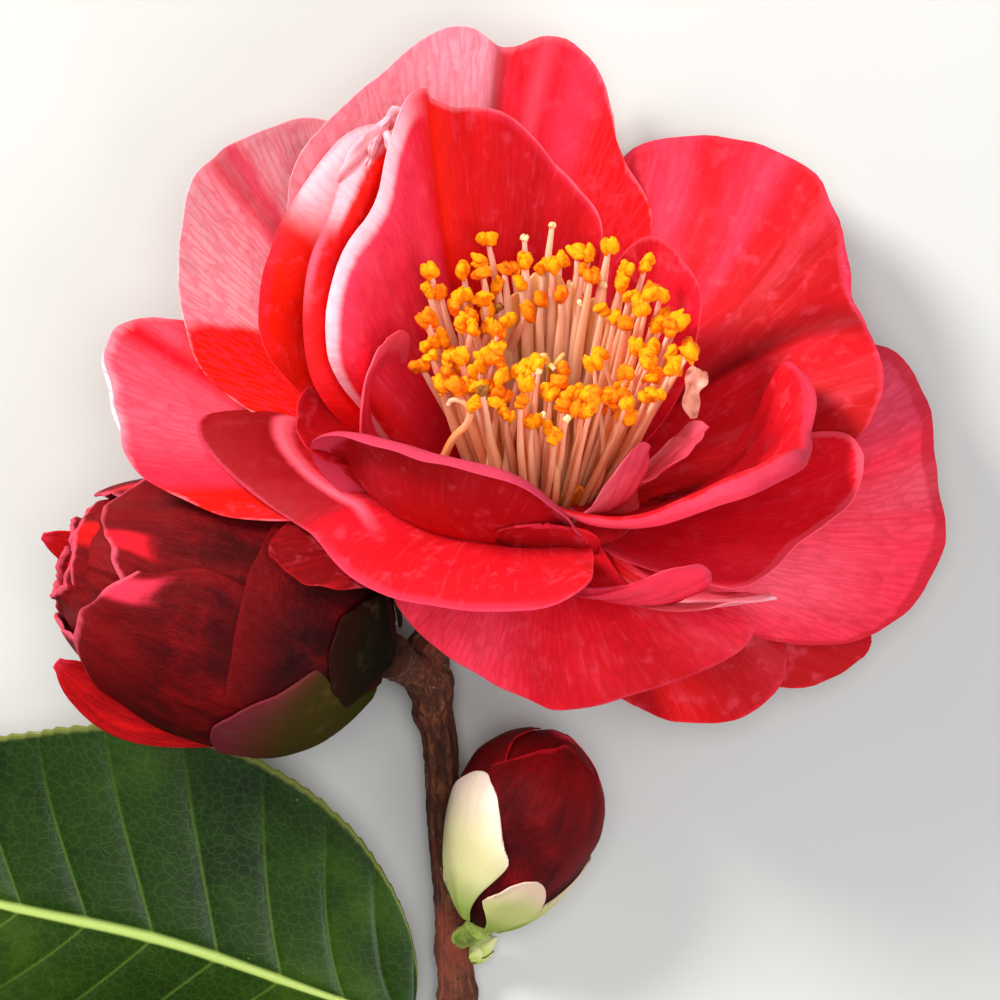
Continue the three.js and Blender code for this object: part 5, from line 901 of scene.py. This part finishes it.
def bud_material(name, low=lin((58, 1, 4)), mid=lin((98, 4, 8)), rim=ROSE, rim_from=0.975, rim_much=0.6, seed=0.0, through=0.08, extra=None, rough=0.55):
    n = Nodes(name)
    u, v = n.uv()
    wide = n.noise(n.vec(n.math("MULTIPLY", u, 2.2), n.math("MULTIPLY", v, 7.0), seed), 1.0, 3.0, 0.55, 0.6)
    fine = n.noise(n.vec(n.math("MULTIPLY", u, 16.0), n.math("MULTIPLY", v, 44.0), seed), 1.0, 5.0, 0.65, 1.4)
    blot = n.noise(n.where(), 130.0, 4.0, 0.65)
    col = n.mix(n.span(wide, 0.35, 0.7), low, mid)
    col = n.mix(n.math("MULTIPLY", n.span(blot, 0.50, 0.74), 0.22), col, DEEP)
    col = n.mix(n.math("MULTIPLY", n.span(fine, 0.48, 0.66), 0.4), col, lin((56, 1, 5)))
    col = n.mix(n.math("MULTIPLY", n.span(u, 0.6, 1.0), 0.22), col, DEEP)
    # darker towards the foot: painted shade by the stalk
    col = n.mix(n.span(u, 0.34, 0.0, 0.0, 0.85), col, lin((40, 1, 3)))
    if extra:
        at, colour, much, half = extra       # a lit corner near the rim
        d = n.math("ABSOLUTE", n.math("SUBTRACT", v, at))
        k = n.math("MULTIPLY", n.span(d, half, half * 0.4), n.span(n.math("ADD", u, n.math("MULTIPLY", n.math("SUBTRACT", blot, 0.5), 0.2)), 0.80, 0.90))
        col = n.mix(n.math("MULTIPLY", k, much), col, colour)
    edge = n.span(n.math("ADD", u, n.math("MULTIPLY", n.math("SUBTRACT", blot, 0.5), 0.10)), rim_from, 1.0)
    col = n.mix(n.math("MULTIPLY", edge, rim_much), col, rim)
    nor = n.bump(fine, 0.5, 0.0006)
    nor = n.bump(blot, 0.5, 0.001, nor)
    nor = n.bump(n.noise(n.where(), 420.0, 3.0, 0.6), 0.3, 0.0003, nor)
    return n.surface(col, rough, nor, glow=lin((180, 4, 8)), through=through, spec=0.07)


def sepal_material(name, base, mid, rim, seed=0.0, patch=None):
    n = Nodes(name)
    u, v = n.uv()
    g = n.noise(n.vec(n.math("MULTIPLY", u, 2.0), n.math("MULTIPLY", v, 16.0), seed), 1.0, 4.0, 0.6, 0.5)
    b = n.noise(n.where(), 260.0, 4.0, 0.62)
    col = n.ramp(u, [(0, base), (0.45, mid), (1, rim)])
    col = n.mix(n.math("MULTIPLY", n.span(g, 0.5, 0.72), 0.35), col, mid)
    col = n.mix(n.math("MULTIPLY", n.span(b, 0.54, 0.78), 0.09), col, lin((170, 140, 100)))
    nor = n.bump(g, 0.35, 0.0003)
    nor = n.bump(n.noise(n.where(), 900.0, 2.0), 0.25, 0.0002, nor)
    return n.surface(col, 0.75, nor, spec=0.04)


LB_FOOT, LB_TIP = (390, 655, 102), (72, 556, 132)
LB = smooth_profile([(0, 26), (0.04, 62), (0.12, 98), (0.25, 128), (0.42, 141), (0.6, 139), (0.75, 125), (0.88, 100), (1, 62)])
# the left bud's dark crimson is its own red darkened further: painted shade from the bloom over it
bud_body("left_bud_heart", LB_FOOT, LB_TIP, LB, bud_material("bud_heart", seed=3.0), "left_bud", "bud_red", shrink=12.0, seed=61)
wraps = [
    # name, s0, s1, from, to degrees, lift, seed, more
    ("left_bud_inner_1", 0.50, 1.030, -70, 50, -38, 11, dict(crisp=1, curl=-6, droop=0.03, thick=7)),
    ("left_bud_inner_2", 0.50, 1.026, 0, 140, -30, 12, dict(crisp=1.4, curl=-7, droop=0.04, thick=7)),
    ("left_bud_inner_3", 0.50, 1.020, -170, -50, -27, 13, dict(crisp=1.4, curl=-7, droop=0.04, thick=7)),
    ("left_bud_inner_4", 0.50, 1.010, -110, 5, -20, 21, dict(crisp=2, curl=-8, droop=0.06, thick=7)),
    ("left_bud_inner_5", 0.50, 1.000, -30, 76, -15, 22, dict(crisp=2.4, curl=-8, droop=0.07, thick=7, extra=(0.55, RED, 0.6, 0.2))),
    ("left_bud_far", 0.02, 1.00, 95, 265, -6, 14, dict(crisp=2.5, curl=4)),
    ("left_bud_over", 0.02, 0.985, 36, 150, -6, 15, dict(crisp=3.5, curl=-7, droop=0.10, extra=(0.22, HOT, 0.6, 0.12))),
    ("left_bud_under", 0.02, 0.985, -165, -50, -4, 16, dict(crisp=3.5, curl=-6, droop=0.09, thick=5)),
    ("left_bud_upper", 0.02, 0.94, -12, 84, -2, 17, dict(crisp=4, curl=-7, droop=0.14, thick=5, extra=(0.30, HOT, 0.7, 0.10))),
    ("left_bud_middle", 0.02, 0.92, -88, 14, 2, 18, dict(crisp=4, curl=-7, droop=0.12, thick=5, extra=(0.88, ROSE, 0.8, 0.10))),
    ("left_bud_right", 0.00, 0.48, -60, 90, 3, 19, dict(crisp=2, curl=-1, droop=0.12, rim=DARK)),
]
for name, s0, s1, a0, a1, lift, seed, more in wraps:
    extra, rim = more.pop("extra", None), more.pop("rim", PINK)
    # left_bud_right, under the bloom's lower petals, is darker still with a dark rim: painted shade
    tone = dict(low=lin((34, 1, 2)), mid=lin((64, 2, 5))) if name == "left_bud_right" else {}
    m = bud_material(name + "_tissue", seed=float(seed), extra=extra, rim=rim, rim_much=0.55 if rim is PINK else 0.3, **tone)
    wrap(name, LB_FOOT, LB_TIP, LB, s0, s1, a0, a1, lift, m, "bud_red", seed=seed * 9, **more)


def blade(name, pts, half, mat, slot, node=(), seed=0, lift=5.0, nu=30, nv=22, blunt=2.2, thick=3.0, wave=1.5, shoulder=0.35):
    C = spline([seen(*q) for q in pts], nu)
    T, N, B = along(C, (0, 0, 1))
    u, v = np.linspace(0, 1, nu + 1)[:, None], np.linspace(-1, 1, nv + 1)[None, :]
    w = half * np.maximum(0.03, (1 - u ** blunt)) ** 0.6 * (0.35 + 0.65 * ease(0, shoulder, u))
    f = waves(seed)
    G = C[:, None] + B[:, None] * (v * w)[..., None] + N[:, None] * (-lift * v ** 2 * (1 - u) + wave * f(u * 5, v * 4) * u)[..., None]
    V, F, uv = shell(G, u + 0 * v, (v + 1) / 2 + 0 * u, thick)
    return mesh(name, V, F, mat, uv=uv, node=node, slot=slot)


lobe_m = petal_material("small_lobe_tissue", tip=[(0, DEEP), (0.5, DEEP), (1, CRIMSON)], base=[(0, DARK), (1, DEEP)], at=(0.2, 0.6), streak=0.4, dark=0.2, vein=0.5, net=DEEP, rim=ROSE, rim_from=0.9, rim_much=0.6, foot=DARK, seed=83.0)
blade("small_lobe", [(545, 562, 286), (547, 548, 314), (546, 536, 332), (545, 525, 343)], 50, lobe_m, "petal_red", seed=39, lift=10, blunt=6.0, wave=1.5, shoulder=0.2)

flame = bud_material("bud_tip_tissue", low=DEEP, mid=RED, rim=ROSE, rim_from=0.9, seed=8.0, through=0.3)
blade("left_bud_tip_1", [(150, 578, 110), (112, 566, 142), (76, 550, 160), (43, 536, 166)], 24, flame, "bud_red", node="left_bud_tip_1", seed=31, lift=4)
blade("left_bud_tip_2", [(270, 735, 70), (205, 722, 92), (130, 706, 118), (88, 686, 138), (57, 663, 150)], 44, flame, "bud_red", node="left_bud_tip_2", seed=32, lift=14, blunt=1.5, shoulder=0.5)
green, pinkish, brownish = lin((40, 38, 4)), lin((98, 30, 38)), lin((24, 18, 4))
wrap("left_bud_sepal_1", LB_FOOT, LB_TIP, LB, 0.02, 0.45, -100, -14, 8, sepal_material("sepal_low", green, lin((50, 40, 8)), pinkish), "sepal_green", node="left_bud_sepal_1", seed=401, crisp=1.5, thick=4.5, droop=0.5)
# left_bud_sepal_2 is near black: painted shade by the stalk
wrap("left_bud_sepal_2", LB_FOOT, LB_TIP, LB, 0.00, 0.20, -40, 40, 9, sepal_material("sepal_mid", lin((10, 6, 2)), lin((18, 13, 3)), lin((36, 12, 6)), seed=4.0), "sepal_green", node="left_bud_sepal_2", seed=404, crisp=1.5, thick=4.5, droop=0.5)
for q, (a0, a1, s1) in enumerate([(40, 120, 0.30), (115, 200, 0.42), (190, 262, 0.36)]):
    wrap("left_bud_sepal_%d" % (q + 3), LB_FOOT, LB_TIP, LB, 0.0, s1, a0, a1, 9 + q, sepal_material("sepal_back_%d" % q, brownish, green, pinkish, seed=9.0 + q), "sepal_green", seed=410 + q, crisp=1.5, thick=4.0, droop=0.5)

RB_FOOT, RB_TIP = (480, 925, 45), (560, 733, 62)
RB = smooth_profile([(0, 16), (0.06, 34), (0.2, 55), (0.4, 71), (0.6, 79), (0.78, 73), (0.92, 50), (1, 16)])
bud_body("right_bud_heart", RB_FOOT, RB_TIP, RB, bud_material("small_bud_heart", seed=23.0), "right_bud", "bud_red", shrink=5.0, seed=63, rough=1.2)
for q, (s1, a0, a1, lift) in enumerate([(0.99, 60, 235, -2.0), (0.98, -165, -20, -1.0), (0.97, -60, 95, 1.5)]):
    wrap("right_bud_petal_%d" % (q + 1), RB_FOOT, RB_TIP, RB, 0.05, s1, a0, a1, lift, bud_material("small_bud_tissue_%d" % q, seed=30.0 + q, rim=HOT, rim_much=0.4), "bud_red", seed=430 + 3 * q, crisp=1.6, thick=2.6, nu=36, nv=44)
cream, pale_green = lin((190, 184, 134)), lin((126, 146, 58))
wrap("right_bud_sepal", RB_FOOT, RB_TIP, RB, 0.02, 0.72, -96, 0, 4, sepal_material("sepal_pale", pale_green, cream, lin((226, 200, 186)), seed=14.0), "sepal_green", node="right_bud_sepal", seed=441, crisp=1.0, thick=3.4, droop=0.4)
for q, (a0, a1, s1) in enumerate([(-10, 70, 0.34), (60, 150, 0.5), (140, 225, 0.42), (-185, -90, 0.3)]):
    wrap("right_bud_sepal_%d" % (q + 2), RB_FOOT, RB_TIP, RB, 0.0, s1, a0, a1, 4 + 0.8 * q, sepal_material("sepal_small_%d" % q, pale_green, lin((168, 170, 104)), lin((200, 170, 150)), seed=17.0 + q), "sepal_green", seed=450 + q, crisp=1.0, thick=3.2, droop=0.5)

# ---- the bloom's calyx
CX_FOOT, CX_TOP = HEART - AXIS * 62, HEART - AXIS * 2


def back_to_view(P):
    x, y = shown(P)
    return (x, y, P[2])


CX = smooth_profile([(0, 17), (0.2, 27), (0.4, 39), (0.6, 47), (0.8, 53), (1, 56)], 30)
cf, ct = back_to_view(CX_FOOT), back_to_view(CX_TOP)
bud_body("bloom_calyx_heart", cf, ct, CX, sepal_material("calyx_heart", brownish, green, green, seed=40.0), "bloom_calyx", "sepal_green", shrink=4.0, seed=71, rough=1.0)
for q in range(6):
    c0 = q * 60.0
    wrap("calyx_sepal_%d" % (q + 1), cf, ct, CX, 0.04 + 0.05 * (q % 2), 1.10 + 0.12 * (q % 2), c0 - 46, c0 + 46, 0.5 + 2.5 * (q % 2), sepal_material("calyx_tissue_%d" % q, brownish, green, pinkish, seed=42.0 + q), "sepal_green", seed=470 + q, crisp=1.2, flare=7, thick=3.6, droop=0.35, nu=28, nv=30)


# ---- the twig
def bark_material():
    n = Nodes("bark")
    u, v = n.uv()
    w = n.where()
    streak = n.noise(n.vec(n.math("MULTIPLY", u, 26.0), n.math("MULTIPLY", v, 9.0)), 1.0, 5.0, 0.65, 0.6)
    crack = n.noise(w, 650.0, 6.0, 0.7, 0.5)
    big = n.noise(w, 120.0, 3.0, 0.6)
    col = n.ramp(streak, [(0.25, lin((30, 14, 9))), (0.48, lin((70, 34, 20))), (0.66, lin((116, 66, 40))), (0.85, lin((186, 136, 94)))])
    col = n.mix(n.math("MULTIPLY", n.span(big, 0.45, 0.7), 0.5), col, lin((120, 44, 26)))
    col = n.mix(n.math("MULTIPLY", n.span(crack, 0.5, 0.3), 0.7), col, lin((30, 16, 10)))
    col = n.mix(n.math("MULTIPLY", n.span(crack, 0.62, 0.78), 0.5), col, lin((214, 184, 146)))
    nor = n.bump(crack, 0.7, 0.0005, n.bump(streak, 0.6, 0.0006))
    return n.surface(col, 0.82, nor, spec=0.3)


def woody(name, rows, steps, nc, mat, slot, node, seed, relief=1.2, knots=()):
    Q = spline([list(seen(*q[:3])) + [q[3]] for q in rows], steps)
    C = Q[:, :3]
    T, N, B = along(C, (0, 0, 1))
    L = np.concatenate([[0], np.cumsum(np.linalg.norm(np.diff(C, axis=0), axis=1))])
    an = np.arange(nc) / nc * 2 * math.pi
    ca, sa = np.cos(an)[None], np.sin(an)[None]
    w1, w2, w3 = waves(seed), waves(seed + 1), waves(seed + 2)
    R = Q[:, 3:4] * (1 + 0.04 * w1(L[:, None] * 0.03, ca * 2 + sa)) + relief * (0.7 * w2(L[:, None] * 0.05, 7 * ca + 6 * sa) + 0.6 * w3(L[:, None] * 0.22, 11 * ca - 9 * sa))
    for at, high, wide, side in knots:
        R = R + high * np.exp(-((L[:, None] - at * L[-1]) / wide) ** 2) * (0.5 + 0.5 * np.cos(an[None] - side))
    R = R - 0.5
    V, F, uv = ringed(C, R, N, B, nc)
    return mesh(name, V, F, mat, uv=uv, node=node, slot=slot)


BARK = bark_material()
woody("stem", [(457, 1062, -8, 21), (457, 1000, -6, 20), (450, 900, 2, 18), (443, 800, 8, 18), (440, 745, 12, 18), (432, 700, 16, 20), (425, 665, 20, 26), (440, 628, 24, 19), (480, 592, 28, 17), (520, 573, 38, 17), (541, 562, 56, 18)],
      230, 40, BARK, "bark", "stem", 80, knots=[(0.12, 5, 9, 0.4), (0.20, 4, 10, 4.0), (0.42, 3, 8, 1.0), (0.62, 5, 12, 5.0), (0.665, 6, 14, 1.5), (0.85, 4, 9, 3.0)])
woody("left_bud_stalk", [(428, 676, 18, 19), (418, 671, 36, 19), (408, 668, 54, 18), (398, 661, 78, 20), (390, 656, 96, 25)], 50, 32, BARK, "bark", "left_bud_stalk", 90, relief=1.0, knots=[(0.3, 3, 8, 1.0), (0.7, 3, 8, 3.0)])

stalk_m = Nodes("young_stalk")
g = stalk_m.noise(stalk_m.where(), 500.0, 4.0, 0.6)
YOUNG = stalk_m.surface(stalk_m.ramp(g, [(0.3, lin((86, 104, 40))), (0.55, lin((132, 150, 66))), (0.75, lin((176, 180, 104)))]), 0.5, stalk_m.bump(g, 0.3, 0.0003), spec=0.4)
woody("right_bud_stalk", [(455, 940, 2, 12), (462, 937, 12, 12.5), (468, 934, 22, 12), (475, 929, 34, 13.5), (480, 925, 44, 16)], 30, 26, YOUNG, "sepal_green", "right_bud_stalk", 95, relief=0.5)
woody("leaf_stalk", [(456, 1040, -6, 9), (446, 1037, -6, 9), (435, 1032, -6, 8.5), (424, 1028, -6, 8.5), (411, 1022, -5, 9)], 30, 24, YOUNG, "leaf_stalk_green", "leaf_stalk", 97, relief=0.4)

# a leaf bud in the axil: overlapping pale scales
lbp = smooth_profile([(0, 6), (0.3, 11), (0.6, 11), (1, 2)], 30)
budgreen = sepal_material("axil_bud", lin((126, 146, 60)), lin((170, 186, 98)), lin((206, 200, 150)), seed=60.0)
bud_body("leaf_bud_heart", (468, 958, -2), (497, 937, 9), lbp, budgreen, "leaf_bud", "sepal_green", shrink=1.0, seed=99, rough=0.3)
for q in range(4):
    wrap("leaf_bud_scale_%d" % (q + 1), (468, 958, -2), (497, 937, 9), lbp, 0.0, 0.55 + 0.14 * q, q * 97.0 - 60, q * 97.0 + 60, 1.6 - 0.2 * q, budgreen, "sepal_green", seed=480 + q, crisp=0.4, thick=1.2, nu=20, nv=20, droop=0.5)


# ---- the leaf: folded up along its midrib, toothed, with sunken veins
LEAF_HALF, VEINS, TEETH = 229.0, 11.0, 46.0


def leaf_sheet(nu, nv):
    C = spline([seen(*q) for q in [(410, 1022, -5), (331, 998, -1), (165, 942, 5), (0, 905, 1), (-150, 868, -8), (-300, 832, -20)]], nu)
    T, N, B = along(C, (0, 0, 1))
    s = np.concatenate([[0], np.cumsum(np.linalg.norm(np.diff(C, axis=0), axis=1))])
    t = (s / s[-1])[:, None]
    v = np.linspace(-1, 1, nv + 1)[None, :]
    w = LEAF_HALF * np.maximum(0.035, np.where(t < 0.4, np.sqrt(np.clip(1 - (1 - t / 0.4) ** 2, 0, 1)), 1 - np.clip((t - 0.4) / 0.6, 0, 1) ** 1.6))
    tooth = (t * TEETH) % 1.0
    w = w * (1 + 0.016 * (tooth - 0.5) * np.abs(v) ** 24)
    up = np.where(B[:, 1:2] > 0, B, -B)
    q = np.abs(v) * w * np.where(v < 0, 0.85, 1)
    a0, a1 = np.where(v < 0, 35.0, 8.0), np.where(v < 0, 80.0, 20.0)
    x, z = 0 * q, 0 * q
    for k in range(12):
        an = np.radians(a0 + (a1 - a0) * (k + 0.5) / 12 * np.abs(v))
        x, z = x + np.cos(an) * q / 12, z + np.sin(an) * q / 12
    G = C[:, None] + up[:, None] * (x * np.sign(v))[..., None] + N[:, None] * z[..., None]
    n0 = grid_normals(G)
    n0 = n0 * np.sign(np.sum(n0 * N[:, None], -1).mean())
    # side veins run forward from the midrib; the blade bulges between them
    ph = t * VEINS - np.abs(v) * 1.25 - 0.14 * np.sin(np.abs(v) * 3)
    d = np.abs((ph + 0.5) % 1.0 - 0.5)
    sink = -3.0 * np.exp(-(d / 0.055) ** 2) * (1 - 0.55 * np.abs(v)) + 1.8 * np.sin(math.pi * d)
    rib = -4.5 * np.exp(-(v / 0.030) ** 2) + 2.4 * np.exp(-(v / 0.012) ** 2)
    w1 = waves(501)
    wav = 3.0 * w1(t * 14, v * 3) * np.abs(v) ** 1.5
    return G + n0 * ((sink * ease(0.02, 0.10, np.abs(v)) * (1 - np.abs(v) ** 12) + rib + wav) * np.minimum(1, w / 60))[..., None], t + 0 * v, (v + 1) / 2 + 0 * t


def leaf_material():
    n = Nodes("leaf_tissue")
    u, v = n.uv()
    off = n.math("ABSOLUTE", n.math("SUBTRACT", n.math("MULTIPLY", v, 2.0), 1.0))
    ph = n.math("SUBTRACT", n.math("MULTIPLY", u, VEINS), n.math("ADD", n.math("MULTIPLY", off, 1.25), n.math("MULTIPLY", n.math("SINE", n.math("MULTIPLY", off, 3.0)), 0.14)))
    d = n.math("ABSOLUTE", n.math("SUBTRACT", n.math("FRACT", n.math("ADD", ph, 0.5)), 0.5))
    side = n.math("MULTIPLY", n.span(d, 0.055, 0.0), n.span(off, 1.0, 0.25, 0.15, 0.85))
    net = n.new("TexVoronoi", feature="DISTANCE_TO_EDGE")
    n.link(n.where(), net.inputs["Vector"])
    net.inputs["Scale"].default_value = 900.0
    mesh_of = n.span(net.outputs["Distance"], 0.10, 0.0)
    g = n.noise(n.where(), 70.0, 4.0, 0.6)
    f = n.noise(n.where(), 900.0, 3.0, 0.6)
    col = n.ramp(g, [(0.3, lin((14, 32, 4))), (0.5, lin((24, 47, 5))), (0.72, lin((42, 66, 8)))])
    col = n.mix(n.math("MULTIPLY", mesh_of, 0.12), col, lin((72, 108, 40)))
    col = n.mix(n.math("MULTIPLY", side, 0.5), col, lin((86, 116, 36)))
    col = n.mix(n.math("MULTIPLY", n.span(off, 0.045, 0.012), 0.95), col, lin((158, 178, 92)))
    col = n.mix(n.math("MULTIPLY", n.span(off, 0.965, 0.995), 0.6), col, lin((128, 132, 60)))
    col = n.mix(n.math("MULTIPLY", n.span(f, 0.70, 0.78), 0.35), col, lin((150, 158, 96)))
    nor = n.bump(mesh_of, 0.12, 0.0002)
    nor = n.bump(f, 0.12, 0.0002, nor)
    return n.surface(col, 0.38, nor, spec=0.25, coat=0.08, coat_rough=0.28, through=0.05, glow=lin((110, 150, 10)))


G, U, W = leaf_sheet(190, 96)
V, F, uv = shell(G, U, W, 4.2)
mesh("leaf_blade", V, F, leaf_material(), uv=uv, node="leaf_blade", slot="leaf_green")

# ---- floor, light and camera
n = Nodes("pale_floor")
g = n.noise(n.where(), 6.0, 3.0)
floor_m = n.surface(n.ramp(g, [(0.3, lin((184, 184, 181))), (0.7, lin((191, 191, 188)))]), 0.85, spec=0.2)
fm = bpy.data.meshes.new("floor")
fm.from_pydata([(-3, -3, 0), (3, -3, 0), (3, 3, 0), (-3, 3, 0)], [], [(0, 1, 2, 3)])
fm.materials.append(floor_m)
floor = bpy.data.objects.new("floor", fm)
bpy.context.scene.collection.objects.link(floor)


def lamp(name, at, to, size, power, colour=(1, 1, 1)):
    d = bpy.data.lights.new(name, "AREA")
    d.shape, d.size, d.energy, d.color = "DISK", size, power, colour
    o = bpy.data.objects.new(name, d)
    o.location = at
    o.rotation_euler = (Vector(to) - Vector(at)).to_track_quat("-Z", "Y").to_euler()
    bpy.context.scene.collection.objects.link(o)
    return o


lamp("key", (-0.44, 0.42, 0.42), (0, 0, 0.02), 0.26, 8.8, (1.0, 0.97, 0.93))
lamp("fill", (0.50, -0.40, 0.50), (0, 0, 0.02), 0.60, 4.0, (0.96, 0.97, 1.0))
lamp("top", (0.05, 0.02, 0.75), (0, 0, 0), 0.50, 3.4)
world = bpy.data.worlds.new("studio")
world.use_nodes = True
world.node_tree.nodes["Background"].inputs[0].default_value = (0.93, 0.95, 1.0, 1)
world.node_tree.nodes["Background"].inputs[1].default_value = 0.28
bpy.context.scene.world = world
bpy.context.scene.view_settings.view_transform = "Standard"

cam = bpy.data.cameras.new("camera")
cam.sensor_width, cam.lens = 36.0, 36.0 * 400 / 108
cam.clip_start, cam.clip_end = 0.01, 10
eye = bpy.data.objects.new("camera", cam)
eye.location = np.array([0, 0, (FOCUS + EYE) * UNIT]) - SHIFT
bpy.context.scene.collection.objects.link(eye)
bpy.context.scene.camera = eye
